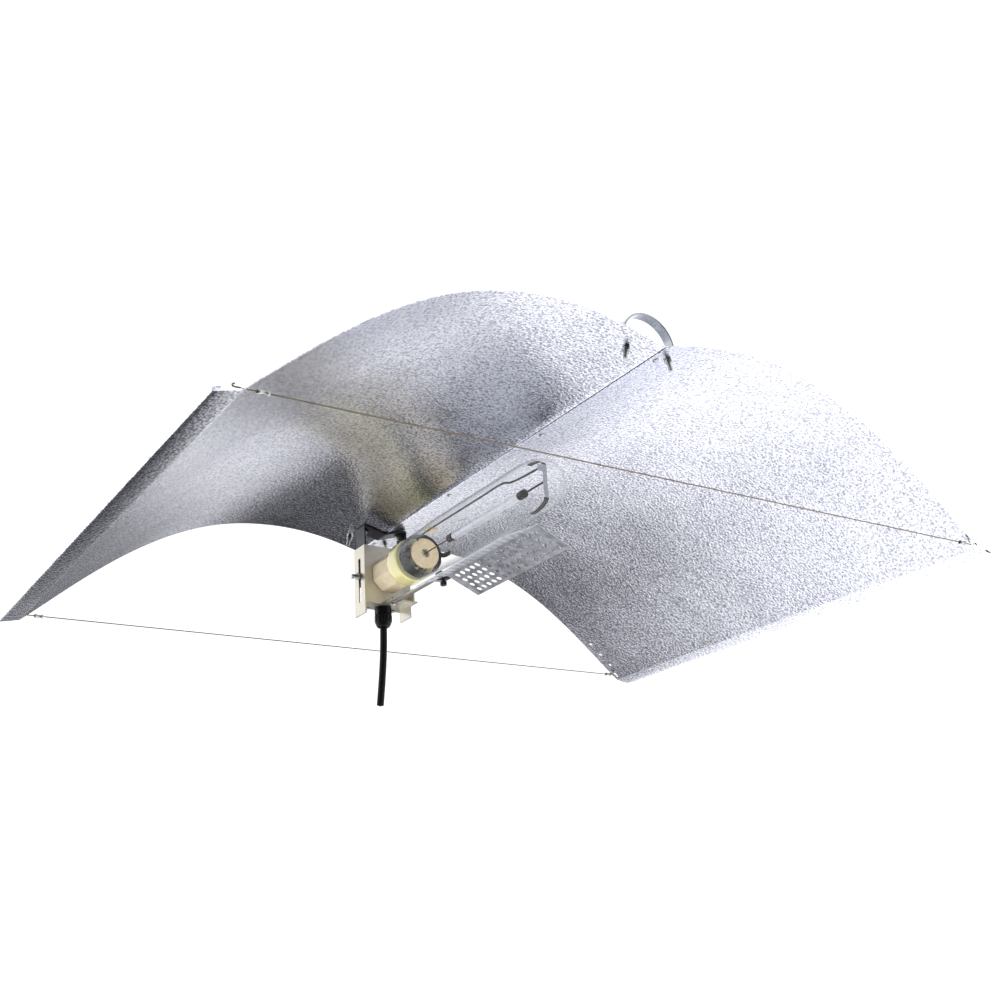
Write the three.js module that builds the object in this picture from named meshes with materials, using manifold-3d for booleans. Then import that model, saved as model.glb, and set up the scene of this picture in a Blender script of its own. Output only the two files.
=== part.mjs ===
// Winged grow-lamp reflector, in millimetres, +Z up, ridge along Y.
// Shapes are drawn with the ridge line at z = 0; the whole group is then lowered so that
// the origin is the point it hangs from.
import * as THREE from "three";
import { mergeVertices } from "three/addons/utils/BufferGeometryUtils.js";
import Module from "manifold-3d";

const wasm = await Module();
wasm.setup();

// ---- driving dimensions ----
const GAP = 0.3; // between touching pieces
const LENGTH = 700; // reflector, along the ridge
const SHEET = 1; // reflector sheet thickness
const WING = [[0, 0], [233, 76], [370, -72], [470, -155]]; // right wing's curve, x and z
const SPLIT_X = 140; // where a wing's flexing part starts
const LIP = [23, -5]; // outer edge flange
const HEM_R = 1.6;
const HANG_Z = 52; // inside of the arches' crowns above the ridge
const ARCH_Y = 320;
const ARCH_R = 34.5; // centre line of the strap
const ARCH_BOLT_X = 28.5;
const WIRE_Y = 345;
const WIRE_Z = -150;
const HANGER = { y0: 264.3, y1: 290, half: 33, foot: -80, t: 2, boltX: 25, boltY: 277 };
const CAR = { front: 262, back: 292.3, t: 2, x: 34.3, top: -23, bottom: -122, shelf: -106, tabY: 240 };
const SLOT = { y: 277, top: -40, bottom: -104, w: 6.4 };
const CLAMP_Z = -66;
const LAMP_Z = -65;
const ARM_Z = -108.3;
const SPREAD = { y0: -100, y1: 105, z: -112, half: 47, slope: 24, pitch: 11.7, hole: 3.7 };
const GLAND_Y = 278;

// ---- materials ----
const MAT = {
  sheet: ["#d3d5d8", 0.35, 0.9],
  chrome: ["#d8dadc", 0.12, 1],
  zinc: ["#b4b1a6", 0.4, 0.9],
  plate: ["#cfc6ab", 0.45, 0.6],
  dark: ["#3a3a3c", 0.5, 0.6],
  wire: ["#8a7a68", 0.4, 0.9],
  porcelain: ["#e4dba6", 0.2, 0],
  block: ["#d9c9a2", 0.35, 0],
  brass: ["#b99b5a", 0.35, 0.9],
  black: ["#151515", 0.45, 0],
  cord: ["#1b1b1c", 0.6, 0],
  glass: ["#dfe6ea", 0.05, 0],
  getter: ["#17120f", 0.15, 0.3],
  ceramic: ["#c9b48e", 0.6, 0],
  arc: ["#c4c8cc", 0.3, 0],
};
for (const key of Object.keys(MAT)) {
  const [color, roughness, metalness] = MAT[key];
  MAT[key] = new THREE.MeshStandardMaterial({ color, roughness, metalness });
}
Object.assign(MAT.glass, { transparent: true, opacity: 0.35 });

const group = new THREE.Group();
group.name = "grow_lamp";
group.position.z = -HANG_Z;

function add(name, geometry, material) {
  const mesh = new THREE.Mesh(geometry, MAT[material]);
  mesh.name = name;
  group.add(mesh);
  return mesh;
}

// ---- solids ----
const V = (x, y, z) => new THREE.Vector3(x, y, z);

function toSolid(geometry) {
  const g = geometry.clone();
  g.deleteAttribute("normal");
  g.deleteAttribute("uv");
  const m = mergeVertices(g, 1e-4);
  const vertProperties = new Float32Array(m.attributes.position.array);
  const triVerts = new Uint32Array(m.index.array);
  return new wasm.Manifold(new wasm.Mesh({ numProp: 3, vertProperties, triVerts }));
}

function toGeometry(solid) {
  const mesh = solid.getMesh();
  const g = new THREE.BufferGeometry();
  g.setAttribute("position", new THREE.BufferAttribute(new Float32Array(mesh.vertProperties), 3));
  g.setIndex(new THREE.BufferAttribute(new Uint32Array(mesh.triVerts), 1));
  const flat = g.toNonIndexed();
  flat.computeVertexNormals();
  return flat;
}

function joined(parts, cutters = []) {
  let solid = toSolid(parts[0]);
  for (const p of parts.slice(1)) solid = solid.add(toSolid(p));
  for (const c of cutters) solid = solid.subtract(toSolid(c));
  return toGeometry(solid);
}

// A prism of the outline [[u, v], ...]: seen along +Y with u = x and v = z.
function prismY(outline, y0, y1) {
  const shape = new THREE.Shape(outline.map(([x, z]) => new THREE.Vector2(x, -z)));
  const g = new THREE.ExtrudeGeometry(shape, { depth: y1 - y0, bevelEnabled: false });
  return g.rotateX(-Math.PI / 2).translate(0, y0, 0);
}

function box(x0, x1, y0, y1, z0, z1) {
  const g = new THREE.BoxGeometry(x1 - x0, y1 - y0, z1 - z0);
  return g.translate((x0 + x1) / 2, (y0 + y1) / 2, (z0 + z1) / 2);
}

// A solid of revolution; profile [[radius, height], ...] starts and ends on the axis or closes.
function lathe(profile, sides = 20) {
  const closed = profile[0][0] > 0;
  const list = closed ? [...profile, profile[0]] : profile;
  const g = new THREE.LatheGeometry(list.map(([r, h]) => new THREE.Vector2(r, h)), sides);
  const m = closedMesh(g);
  return m.rotateX(Math.PI / 2); // height now runs along +Z
}

// One closed mesh of a geometry, with its points merged and its faces turned outwards.
function closedMesh(g) {
  const flat = g.clone();
  flat.deleteAttribute("normal");
  flat.deleteAttribute("uv");
  const merged = mergeVertices(flat, 1e-4);
  const pos = merged.attributes.position;
  const keep = [];
  let volume = 0;
  const [a, b, c] = [V(), V(), V()];
  for (let i = 0; i < merged.index.count; i += 3) {
    const t = [0, 1, 2].map((k) => merged.index.getX(i + k));
    if (t[0] === t[1] || t[1] === t[2] || t[2] === t[0]) continue;
    keep.push(t);
    [a, b, c].forEach((v, k) => v.fromBufferAttribute(pos, t[k]));
    volume += a.dot(b.cross(c)) / 6;
  }
  if (volume < 0) keep.forEach((t) => t.reverse());
  merged.setIndex(keep.flat());
  return merged;
}

// Turns a piece made along +Z so that it points along `dir`, and moves it to `at`.
function place(g, at, dir) {
  const q = new THREE.Quaternion().setFromUnitVectors(V(0, 0, 1), dir.clone().normalize());
  return g.applyQuaternion(q).translate(at.x, at.y, at.z);
}

function rod(r, h0, h1, at, dir, sides = 12) {
  return place(lathe([[0, h0], [r, h0], [r, h1], [0, h1]], sides), at, dir);
}

function tube(points, radius, sides, steps) {
  const shape = new THREE.Shape();
  shape.absarc(0, 0, radius, 0, 2 * Math.PI, false);
  const path = new THREE.CatmullRomCurve3(points, false, "centripetal");
  const options = { steps, extrudePath: path, bevelEnabled: false, curveSegments: sides / 2 };
  return closedMesh(new THREE.ExtrudeGeometry(shape, options));
}

// A rod bent in one plane: a ring of `sides` at each point, with `across` the plane's normal.
function bentRod(points, radius, sides, across) {
  const position = [];
  const index = [];
  const last = points.length - 1;
  points.forEach((p, i) => {
    const along = points[Math.min(i + 1, last)].clone().sub(points[Math.max(i - 1, 0)]).normalize();
    const out = along.clone().cross(across);
    for (let k = 0; k < sides; k++) {
      const a = (2 * Math.PI * k) / sides;
      const v = p.clone().addScaledVector(across, radius * Math.cos(a));
      position.push(...v.addScaledVector(out, radius * Math.sin(a)).toArray());
      const [next, row] = [(k + 1) % sides, i * sides];
      if (i < last) {
        index.push(row + k, row + next, row + sides + k);
        index.push(row + next, row + sides + next, row + sides + k);
      }
    }
  });
  for (let k = 2; k < sides; k++) {
    const end = last * sides;
    index.push(0, k, k - 1, end, end + k - 1, end + k);
  }
  const g = new THREE.BufferGeometry();
  g.setAttribute("position", new THREE.BufferAttribute(new Float32Array(position), 3));
  return closedMesh(g.setIndex(index));
}

// The outline of a strip of thickness t along the open line [[x, z], ...].
function strip(line, t) {
  const side = (s) => line.map(([x, z], i) => {
    const [px, pz] = line[Math.max(i - 1, 0)];
    const [nx, nz] = line[Math.min(i + 1, line.length - 1)];
    const d0 = unit([x - px, z - pz], [nx - x, nz - z]);
    const d1 = unit([nx - x, nz - z], [x - px, z - pz]);
    const n = unit([-d0[1] - d1[1], d0[0] + d1[0]]);
    const k = (s * t) / 2 / Math.max(0.4, n[0] * -d1[1] + n[1] * d1[0]);
    return [x + n[0] * k, z + n[1] * k];
  });
  return [...side(1), ...side(-1).reverse()];
}

function unit(v, other = [1, 0]) {
  const l = Math.hypot(...v);
  return l > 1e-9 ? [v[0] / l, v[1] / l] : unit(other);
}

// ---- wings ----
function curve(t) {
  const s = 1 - t;
  const w = [s * s * s, 3 * s * s * t, 3 * s * t * t, t * t * t];
  return [0, 1].map((k) => WING.reduce((sum, p, i) => sum + w[i] * p[k], 0));
}

function curveAt(x) {
  let [lo, hi] = [0, 1];
  for (let i = 0; i < 40; i++) {
    const mid = (lo + hi) / 2;
    if (curve(mid)[0] < x) lo = mid;
    else hi = mid;
  }
  return lo;
}

const zAt = (x) => curve(curveAt(Math.abs(x)))[1];

function normalAt(x, y = 0) {
  const slope = (zAt(Math.abs(x) + 0.5) - zAt(Math.abs(x) - 0.5)) * Math.sign(x);
  return V(-slope, y, 1).normalize();
}

function wingLine(x0, x1, steps) {
  const [t0, t1] = [curveAt(x0), x1 >= WING[3][0] ? 1 : curveAt(x1)];
  return Array.from({ length: steps + 1 }, (_, i) => curve(t0 + ((t1 - t0) * i) / steps));
}

const mirrored = (line) => line.map(([x, z]) => [-x, z]).reverse();

const tip = WING[3];
const edge = [tip[0] + LIP[0], tip[1] + LIP[1]];
const lipLine = [[edge[0] - 4, edge[1] + 0.9], edge];
for (const a of [-40, 10, 60]) {
  const r = (a * Math.PI) / 180;
  lipLine.push([edge[0] + HEM_R * Math.cos(r), edge[1] + HEM_R + HEM_R * Math.sin(r)]);
}
lipLine.push([edge[0] - 1, edge[1] + 2 * HEM_R + 0.4], [edge[0] - 6, edge[1] + 2 * HEM_R + 1.6]);

const END = LENGTH / 2;
const flangeStep = SHEET + GAP;
const cornerHoles = [448, 430, 412];
const dimples = [-250, -217];
const rivetY = [-320, -107, 107, 320];
const rivetX = 11;

for (const side of [-1, 1]) {
  const name = side < 0 ? "left" : "right";
  const inner = wingLine(0.3, SPLIT_X - 0.25, 9);
  const outer = [...wingLine(SPLIT_X + 0.25, 470, 20), ...lipLine];
  const innerSheet = [prismY(strip(side < 0 ? mirrored(inner) : inner, SHEET), -END, END)];
  if (side < 0) {
    // the left sheet laps over the right one along the ridge and is riveted to it
    const lap = [[-6, zAt(6)], [-2.6, flangeStep * 0.9], [2, zAt(2) + flangeStep * 1.04],
      [18, zAt(18) + flangeStep * 1.04]];
    innerSheet.push(prismY(strip(lap, SHEET), -END, END));
  }
  const innerCuts = [];
  for (const y of rivetY) {
    innerCuts.push(rod(2.3, -8, 8, V(rivetX, y, zAt(rivetX)), normalAt(rivetX), 10));
  }
  for (const y of [-ARCH_Y, ARCH_Y]) {
    const x = side * ARCH_BOLT_X;
    innerCuts.push(rod(2.9, -8, 8, V(x, y, zAt(x)), normalAt(x), 10));
  }
  const hx = side * HANGER.boltX;
  innerCuts.push(rod(2.9, -8, 8, V(hx, HANGER.boltY, zAt(hx)), normalAt(hx), 10));
  for (const y of dimples) {
    innerCuts.push(rod(1.6, -8, 8, V(side * 25, y, zAt(25)), normalAt(side * 25), 8));
  }
  add(`${name}_sheet_root`, joined(innerSheet, innerCuts), "sheet");

  const outerCuts = [];
  for (const end of [-1, 1]) {
    for (const x of cornerHoles) {
      outerCuts.push(rod(2.5, -6, 6, V(side * x, end * (END - 14), zAt(x)), normalAt(side * x), 8));
    }
    outerCuts.push(rod(3.2, -9, 9, V(side * 464, end * WIRE_Y * 0.995, WIRE_Z), V(1, 0, 0), 10));
  }
  const outline = strip(side < 0 ? mirrored(outer) : outer, SHEET);
  add(`${name}_wing`, joined([prismY(outline, -END, END)], outerCuts), "sheet");
}

// ---- ridge rivets: shank through both sheets, domed head below, formed head above ----
rivetY.forEach((y, i) => {
  const low = -SHEET / 2 - GAP;
  const high = SHEET / 2 + flangeStep + GAP + 0.15;
  const profile = [[0, low - 1.6], [2, low - 1.5], [3.6, low], [2, low], [2, high], [3.4, high],
    [2.2, high + 1.2], [0, high + 1.4]];
  add(`ridge_rivet_${i + 1}`,
    place(lathe(profile, 12), V(rivetX, y, zAt(rivetX)), normalAt(rivetX)), "zinc");
});

// ---- hex parts ----
function hexHead(across, h0, h1) {
  return lathe([[0, h0], [across / Math.sqrt(3), h0], [across / Math.sqrt(3), h1], [0, h1]], 6);
}

// Bolt with its head above and its tail below, and the nut on it, standing along `dir` at `at`.
function boltAndNut(name, at, dir, headZ, nutZ, tailZ, nutLow = 4) {
  const bolt = joined([
    hexHead(8, headZ, headZ + 3.4),
    rod(2.5, tailZ, headZ + 1, V(0, 0, 0), V(0, 0, 1), 10),
  ]);
  add(`${name}_bolt`, place(bolt, at, dir), "zinc");
  const nut = joined([hexHead(8, nutZ - nutLow, nutZ)], [
    rod(2.5 + GAP, nutZ - 9, nutZ + 1, V(0, 0, 0), V(0, 0, 1), 10),
  ]);
  add(`${name}_nut`, place(nut, at, dir), "zinc");
}

// ---- hanging arches ----
const footTop = (x) => zAt(x) + (SHEET / 2 + GAP + 1) / normalAt(x).z;
const archStep = Math.PI / 13; // an odd count leaves a flat at the crown for the hook
const archCentreZ = HANG_Z + 1 - ARCH_R * Math.cos(archStep / 2);
const archLine = [[20.5, footTop(20.5)], [ARCH_R - 1.2, footTop(ARCH_R - 1.2)],
  [ARCH_R, footTop(ARCH_R) + 1.4]];
for (let i = 0; i <= 6; i++) {
  const a = i * archStep;
  archLine.push([ARCH_R * Math.cos(a), archCentreZ + ARCH_R * Math.sin(a)]);
}
const archFull = [...archLine, ...mirrored(archLine)];
for (const [name, y] of [["front", -ARCH_Y], ["rear", ARCH_Y]]) {
  const holes = [-1, 1].map((s) =>
    rod(2.8, -8, 8, V(s * ARCH_BOLT_X, y, zAt(ARCH_BOLT_X)), normalAt(s * ARCH_BOLT_X), 10));
  add(`${name}_arch`, joined([prismY(strip(archFull, 2), y - 6, y + 6)], holes), "chrome");
  for (const [s, side] of [[-1, "left"], [1, "right"]]) {
    const x = s * ARCH_BOLT_X;
    boltAndNut(`${name}_arch_${side}`, V(x, y, zAt(x)), normalAt(x), SHEET / 2 + 2 + 2 * GAP,
      -SHEET / 2 - GAP, -14);
  }
}

// ---- tie wires with their crimped ferrules ----
for (const [name, s] of [["front", -1], ["rear", 1]]) {
  const y = s * WIRE_Y;
  const half = [V(470, y, WIRE_Z), V(480, y, WIRE_Z + 0.2), V(485, y, WIRE_Z + 3),
    V(484, y, WIRE_Z + 7), V(479, y, WIRE_Z + 9)];
  const flipped = half.map((p) => V(-p.x, p.y, p.z)).reverse();
  add(`${name}_wire`, bentRod([...flipped, ...half], 1, 8, V(0, 1, 0)), "wire");
  for (const [dir, side] of [[-1, "left"], [1, "right"]]) {
    const profile = [[1.45, -5.5], [2.2, -5.5], [2.7, -4.5], [2.7, 4.5], [2.2, 5.5], [1.45, 5.5]];
    add(`${name}_ferrule_${side}`,
      place(lathe(profile, 10), V(dir * 449, y, WIRE_Z), V(1, 0, 0)), "dark");
  }
}

// ---- lamp hanger under the ridge ----
const hangDrop = (x) => zAt(x) - (SHEET / 2 + GAP + HANGER.t / 2) / normalAt(x).z;
const hangLine = [[0, hangDrop(1) - 0.3], [HANGER.half - 6, hangDrop(HANGER.half - 6)],
  [HANGER.half, hangDrop(HANGER.half)], [HANGER.half, HANGER.foot]];
const hangFull = [...mirrored(hangLine.slice(1)), ...hangLine];
const hangHoles = [-1, 1].flatMap((s) => [
  rod(2.8, -12, 8, V(s * HANGER.boltX, HANGER.boltY, zAt(HANGER.boltX)),
    normalAt(s * HANGER.boltX), 10),
  rod(2.8, -6, 6, V(s * HANGER.half, SLOT.y, CLAMP_Z), V(1, 0, 0), 10),
]);
add("lamp_hanger",
  joined([prismY(strip(hangFull, HANGER.t), HANGER.y0, HANGER.y1)], hangHoles), "dark");
for (const [s, side] of [[-1, "left"], [1, "right"]]) {
  const x = s * HANGER.boltX;
  boltAndNut(`hanger_${side}`, V(x, HANGER.boltY, zAt(x)), normalAt(x), SHEET / 2 + GAP,
    -SHEET / 2 - HANGER.t - 2 * GAP, -11.5);
}

// ---- carriage: a channel open to the rear, with slotted sides and a shelf under it ----
const X1 = CAR.x + CAR.t;
const sideCut = (s) => box(s * CAR.x - 4, s * CAR.x + 4, SLOT.y - SLOT.w / 2, SLOT.y + SLOT.w / 2,
  SLOT.bottom, SLOT.top);
add("carriage", joined([
  box(-X1, X1, CAR.front, CAR.front + CAR.t, CAR.shelf - 1, CAR.top),
  box(-X1, -CAR.x, CAR.front, CAR.back, CAR.bottom, CAR.top),
  box(CAR.x, X1, CAR.front, CAR.back, CAR.bottom, CAR.top),
  box(-CAR.x - 1, CAR.x + 1, CAR.front, CAR.back, CAR.shelf - 1, CAR.shelf + 1),
  box(-10, CAR.x, CAR.tabY, CAR.front + 1, CAR.shelf - 1, CAR.shelf + 1),
  box(CAR.x - 2, CAR.x, CAR.tabY + 8, CAR.front + 1, CAR.shelf, CAR.shelf + 22),
], [
  sideCut(-1), sideCut(1),
  rod(10.4, CAR.shelf - 4, CAR.shelf + 4, V(0, GLAND_Y, 0), V(0, 0, 1), 20),
  rod(2.3, CAR.shelf - 4, CAR.shelf + 4, V(0, 250, 0), V(0, 0, 1), 10),
  ...[-1, 1].map((s) => rod(2, -6, 6, V(s * 21, 287, CAR.shelf), V(0, 0, 1), 8)),
]), "plate");
for (const [s, side] of [[-1, "left"], [1, "right"]]) {
  const profile = [[0, 6], [1.7, 6], [1.7, -1.3], [3.6, -1.3], [3, -3], [0, -3.6]];
  add(`plate_screw_${side}`,
    place(lathe(profile.reverse(), 10), V(s * 21, 287, CAR.shelf), V(0, 0, 1)), "zinc");
}

// ---- clamp studs on the hanger's legs, with a wing nut over each slot ----
for (const [s, side] of [[-1, "left"], [1, "right"]]) {
  const at = V(0, SLOT.y, CLAMP_Z);
  const dir = V(s, 0, 0);
  const inside = HANGER.half - HANGER.t / 2 - GAP;
  const stud = [[0, inside - 3], [4.2, inside - 3], [4.2, inside], [2.5, inside], [2.5, 49], [0, 49.4]];
  add(`clamp_stud_${side}`, place(lathe(stud, 12), at, dir), "zinc");
  const base = X1 + GAP;
  const nut = joined([
    lathe([[0, base], [5.2, base], [4.2, base + 6], [0, base + 6]], 14),
    box(-1, 1, -11, -2.4, base + 2.5, base + 9.5),
    box(-1, 1, 2.4, 11, base + 2.5, base + 9.5),
  ], [rod(2.5 + GAP, base - 2, base + 12, V(0, 0, 0), V(0, 0, 1), 12)]);
  add(`wing_nut_${side}`, place(nut, at, dir), "zinc");
}

// ---- lampholder ----
const along = (g) => place(g, V(0, 0, LAMP_Z), V(0, 1, 0)); // height becomes +Y
add("holder_shell", along(lathe([[21.6, 184.5], [28, 184.5], [29.9, 185.5], [30.5, 188], [30.5, 208],
  [29, 212.3], [21.6, 212.3]], 28)), "porcelain");
const chamfer = 14;
const h = 24;
const octagon = [[-h, -h + chamfer], [-h + chamfer, -h], [h - chamfer, -h], [h, -h + chamfer],
  [h, h - chamfer], [h - chamfer, h], [-h + chamfer, h], [-h, h - chamfer]];
add("holder_block", joined(
  [prismY(octagon.map(([x, z]) => [x, z + LAMP_Z]).reverse(), 212.6, CAR.front - GAP)],
  [along(lathe([[0, 210], [21.6, 210], [21.6, 244], [0, 244]], 20))]), "block");
const thread = [];
for (let i = 0; i <= 6; i++) thread.push([20.2 + (i % 2) * 0.5, 192 + i * 7]);
add("holder_contact", along(lathe([[21.3, 190], [21.3, 236], [0, 236], [0, 234.6], [18, 234.6],
  ...thread.reverse()], 20)), "brass");

// ---- gland and cord ----
const down = CAR.shelf;
add("gland_body", place(lathe([[5.3, down - 11.5], [11, down - 11.5], [12, down - 10.7],
  [12, down - 2.2], [11.6, down - 1.3], [10, down - 1.3], [10, down + 7], [5.3, down + 7]], 16),
V(0, GLAND_Y, 0), V(0, 0, 1)), "black");
add("gland_nut", place(lathe([[5.3, down - 30], [8, down - 30], [10.5, down - 26.5],
  [12.2, down - 22], [12.2, down - 13], [11.4, down - 11.8], [5.3, down - 11.8]], 16),
V(0, GLAND_Y, 0), V(0, 0, 1)), "black");
const cordRoute = [V(0, 278, -112), V(0, 278, -138), V(-0.4, 279.2, -170), V(-1.4, 282.5, -205),
  V(-3, 287.5, -244)];
add("cord", tube(cordRoute, 4.9, 8, 7), "cord");

// ---- spreader arm and its screw ----
add("spreader_arm", joined([box(-4, 4, 62, 259, ARM_Z - 1, ARM_Z + 1)],
  [rod(2.3, ARM_Z - 4, ARM_Z + 4, V(0, 250, 0), V(0, 0, 1), 10)]), "zinc");
add("arm_screw", place(lathe([[0, ARM_Z - 3.9], [2.6, ARM_Z - 3.6], [4, ARM_Z - 2],
  [4, ARM_Z - 1.3], [2, ARM_Z - 1.3], [2, ARM_Z + 9], [0, ARM_Z + 9]], 12),
V(0, 250, 0), V(0, 0, 1)), "zinc");

// ---- perforated spreader ----
function spreaderHalf(side) {
  const width = SPREAD.half / Math.cos((SPREAD.slope * Math.PI) / 180);
  const shape = new THREE.Shape();
  const [y0, y1] = [SPREAD.y0, SPREAD.y1];
  [[0, y0], [width, y0], [width, y1], [0, y1]].forEach(([x, y], i) =>
    (i ? shape.lineTo(x, y) : shape.moveTo(x, y)));
  const rows = 4;
  const count = Math.floor((y1 - y0 - 8) / SPREAD.pitch);
  const first = (y0 + y1 - (count - 1) * SPREAD.pitch) / 2;
  for (let r = 0; r < rows; r++) {
    for (let i = 0; i < count; i++) {
      const hole = new THREE.Path();
      hole.absarc(8.2 + r * SPREAD.pitch, first + i * SPREAD.pitch, SPREAD.hole, 0, 2 * Math.PI, true);
      shape.holes.push(hole);
    }
  }
  const options = { depth: SHEET, bevelEnabled: false, curveSegments: 3 };
  const g = new THREE.ExtrudeGeometry(shape, options).translate(0, 0, -SHEET / 2);
  g.rotateY((SPREAD.slope * Math.PI) / 180);
  if (side < 0) g.rotateZ(Math.PI).translate(0, y0 + y1, 0);
  return g.translate(0, 0, SPREAD.z);
}
add("spreader", joined([
  spreaderHalf(1), spreaderHalf(-1),
  prismY([[-2, -1.2], [2, -1.2], [2, 0], [0, 0.55], [-2, 0]].map(([x, z]) => [x, z + SPREAD.z])
    .reverse(), SPREAD.y0, SPREAD.y1),
  box(-6, 6, SPREAD.y1 - 3, 132, SPREAD.z - 1, SPREAD.z),
]), "sheet");
const clipTop = ARM_Z + 1 + GAP;
const clipLow = SPREAD.z - 1 - GAP;
add("spreader_clip", joined([box(-8.4, 8.4, 108, 120, clipLow - 1.6, clipTop + 1.6)],
  [box(-6.4, 6.4, 100, 128, clipLow, clipTop)]), "dark");
add("clip_screw", place(lathe([[0, -8.6], [3.4, -8.4], [4.4, -7], [4.4, -3.2], [2, -2], [2, 0],
  [0, 0]], 12), V(0, 114, clipLow - 1.6 - GAP), V(0, 0, 1)), "dark");

// ---- lamp ----
const capThread = [];
for (let i = 0; i <= 6; i++) capThread.push([18.9 - (i % 2) * 0.7, 189.5 + i * 4.5]);
add("lamp_cap", along(lathe([[0, 184.3], [19.2, 184.3], ...capThread, [15, 220.5], [9, 224.5],
  [6, 225], [6, 228.5], [0, 229.1]], 20)), "brass");
const glass = 1.2;
const bulb = [[21, 183.9], [28.4, 183], [30.2, 179], [31.2, 140], [33, 90], [33, -84], [32, -105],
  [28.5, -121], [22, -132], [12, -138.6]];
const bulbIn = bulb.map(([r, y], i) => {
  const k = Math.max(0, i - 6) / 3;
  return [r - glass * (1 - 0.3 * k), y + glass * k];
});
bulbIn[0] = [21 - glass, 183.9];
bulbIn[1] = [27.4, 181.9];
add("lamp_envelope", along(lathe([[0, -140], ...bulb.slice().reverse(), ...bulbIn,
  [0, -140 + glass]], 28)), "glass");
add("lamp_getter_ring", along(lathe([[26.9, 158], [27.9, 158], [27.9, 180], [26.9, 180]], 28)),
  "getter");
add("lamp_stem", along(lathe([[0, 161], [6, 161], [7, 170], [11, 183.6], [0, 183.6]], 14)), "glass");
add("lamp_disc", along(lathe([[6, 156], [21, 156], [21, 160], [6, 160]], 20)), "ceramic");
add("arc_tube", along(lathe([[0, -68], [5, -68], [5, 83], [0, 83]], 14)), "arc");
add("arc_collar_rear", along(lathe([[0, 83.3], [5.4, 83.3], [5.4, 95], [1.2, 95.5], [1.2, 160.7],
  [0, 160.7]], 12)), "dark");
add("arc_collar_front", along(lathe([[0, -68.3], [5.4, -68.3], [5.4, -80], [1.2, -80.5],
  [1.2, -121.2], [0, -121.2]], 12)), "dark");
const frame = [[-8, 154.8, -3], [-9, 146, 4], [-13, 130, 20], [-13, 100, 20.5], [-13, 0, 20.5],
  [-13, -50, 20.5], [-11, -66, 17], [-9, -84, 16], [-6, -121.2, 16]];
add("lamp_frame", tube(frame.map(([x, y, z]) => V(x, y, z + LAMP_Z)), 1.3, 6, 30), "dark");
add("frame_block", box(-12, 0, 124, 140, LAMP_Z + 22.2, LAMP_Z + 26.2), "ceramic");
add("dome_strap", joined([box(-3, 3, -122.6, -121.6, LAMP_Z - 21, LAMP_Z + 21),
  box(-10, 3, -122.6, -121.6, LAMP_Z + 12, LAMP_Z + 20)]), "chrome");

export default group;
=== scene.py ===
"""Looks of a hanging grow lamp: a winged hammered-aluminium reflector over a tubular lamp.

Lengths are in metres in the frame's own axes: +X across the wings, +Y along the ridge towards
the lampholder, +Z up, with the origin at the point the lamp hangs from.
"""

import math

import bmesh
import bpy
from bpy.props import FloatProperty, FloatVectorProperty, PointerProperty
from mathutils import Matrix, Vector, noise


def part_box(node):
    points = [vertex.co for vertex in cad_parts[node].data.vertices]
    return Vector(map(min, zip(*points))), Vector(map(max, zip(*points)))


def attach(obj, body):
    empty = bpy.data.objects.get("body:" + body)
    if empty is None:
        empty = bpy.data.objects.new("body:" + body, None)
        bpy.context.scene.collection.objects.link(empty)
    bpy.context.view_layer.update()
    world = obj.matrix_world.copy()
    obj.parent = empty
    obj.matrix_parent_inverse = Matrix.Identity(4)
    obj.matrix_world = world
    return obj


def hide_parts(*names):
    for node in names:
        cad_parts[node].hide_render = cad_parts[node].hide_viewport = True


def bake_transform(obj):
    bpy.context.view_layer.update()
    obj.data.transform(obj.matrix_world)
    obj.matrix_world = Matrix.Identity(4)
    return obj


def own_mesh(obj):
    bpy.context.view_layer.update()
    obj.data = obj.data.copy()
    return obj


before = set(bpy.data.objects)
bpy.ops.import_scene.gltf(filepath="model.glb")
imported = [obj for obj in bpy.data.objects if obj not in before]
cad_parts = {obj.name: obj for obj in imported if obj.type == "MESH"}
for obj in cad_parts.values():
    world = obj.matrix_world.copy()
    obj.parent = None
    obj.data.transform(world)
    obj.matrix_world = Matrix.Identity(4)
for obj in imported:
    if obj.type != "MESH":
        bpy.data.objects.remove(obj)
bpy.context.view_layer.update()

bl_info = {
    "name": "Winged Grow Lamp",
    "version": (1, 0, 0),
    "blender": (4, 5, 0),
    "location": "View3D > Sidebar > Grow Lamp",
    "description": "Builds a hanging grow lamp with an adjustable winged reflector",
    "category": "Object",
}

MM = 0.001
RIDGE_Z = -0.052  # ridge line below the hanging point
WING = ((0, 0), (233, 76), (370, -72), (470, -155))  # curve of a wing, x and z in mm
END_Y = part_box("right_wing")[1].y
RIVET_X = 0.011
ARCH_Y, ARCH_BOLT_X = 0.320, 0.0285
HANGER_BOLT_Y, HANGER_BOLT_X = 0.277, 0.025
BOLT_HOLE = 0.0028  # radius of the holes for M5 bolts and studs
WIRE_Y, WIRE_Z = 0.345, RIDGE_Z - 0.150
ARM_SCREW_Y = 0.250
CREASE_Z = RIDGE_Z - 0.112  # the spreader's fold
SPREADER_END = 0.105  # where the spreader's punched sheet ends and its tongue starts


# ---------------------------------------------------------------- settings


def linear(hex_colour):
    """An sRGB hex colour as linear red, green, blue and alpha."""
    h = hex_colour.lstrip("#")
    out = []
    for i in (0, 2, 4):
        c = int(h[i:i + 2], 16) / 255
        out.append(c / 12.92 if c <= 0.04045 else ((c + 0.055) / 1.055) ** 2.4)
    return (*out, 1.0)


def colour_prop(name, description, hex_colour):
    """A colour setting with an sRGB hex default."""
    return FloatVectorProperty(
        name=name, description=description, subtype="COLOR", size=4, min=0, max=1,
        default=linear(hex_colour))


def length_prop(name, description, metres):
    """A length setting in metres."""
    return FloatProperty(name=name, description=description, default=metres, min=0,
                         unit="LENGTH", precision=4)


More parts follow.
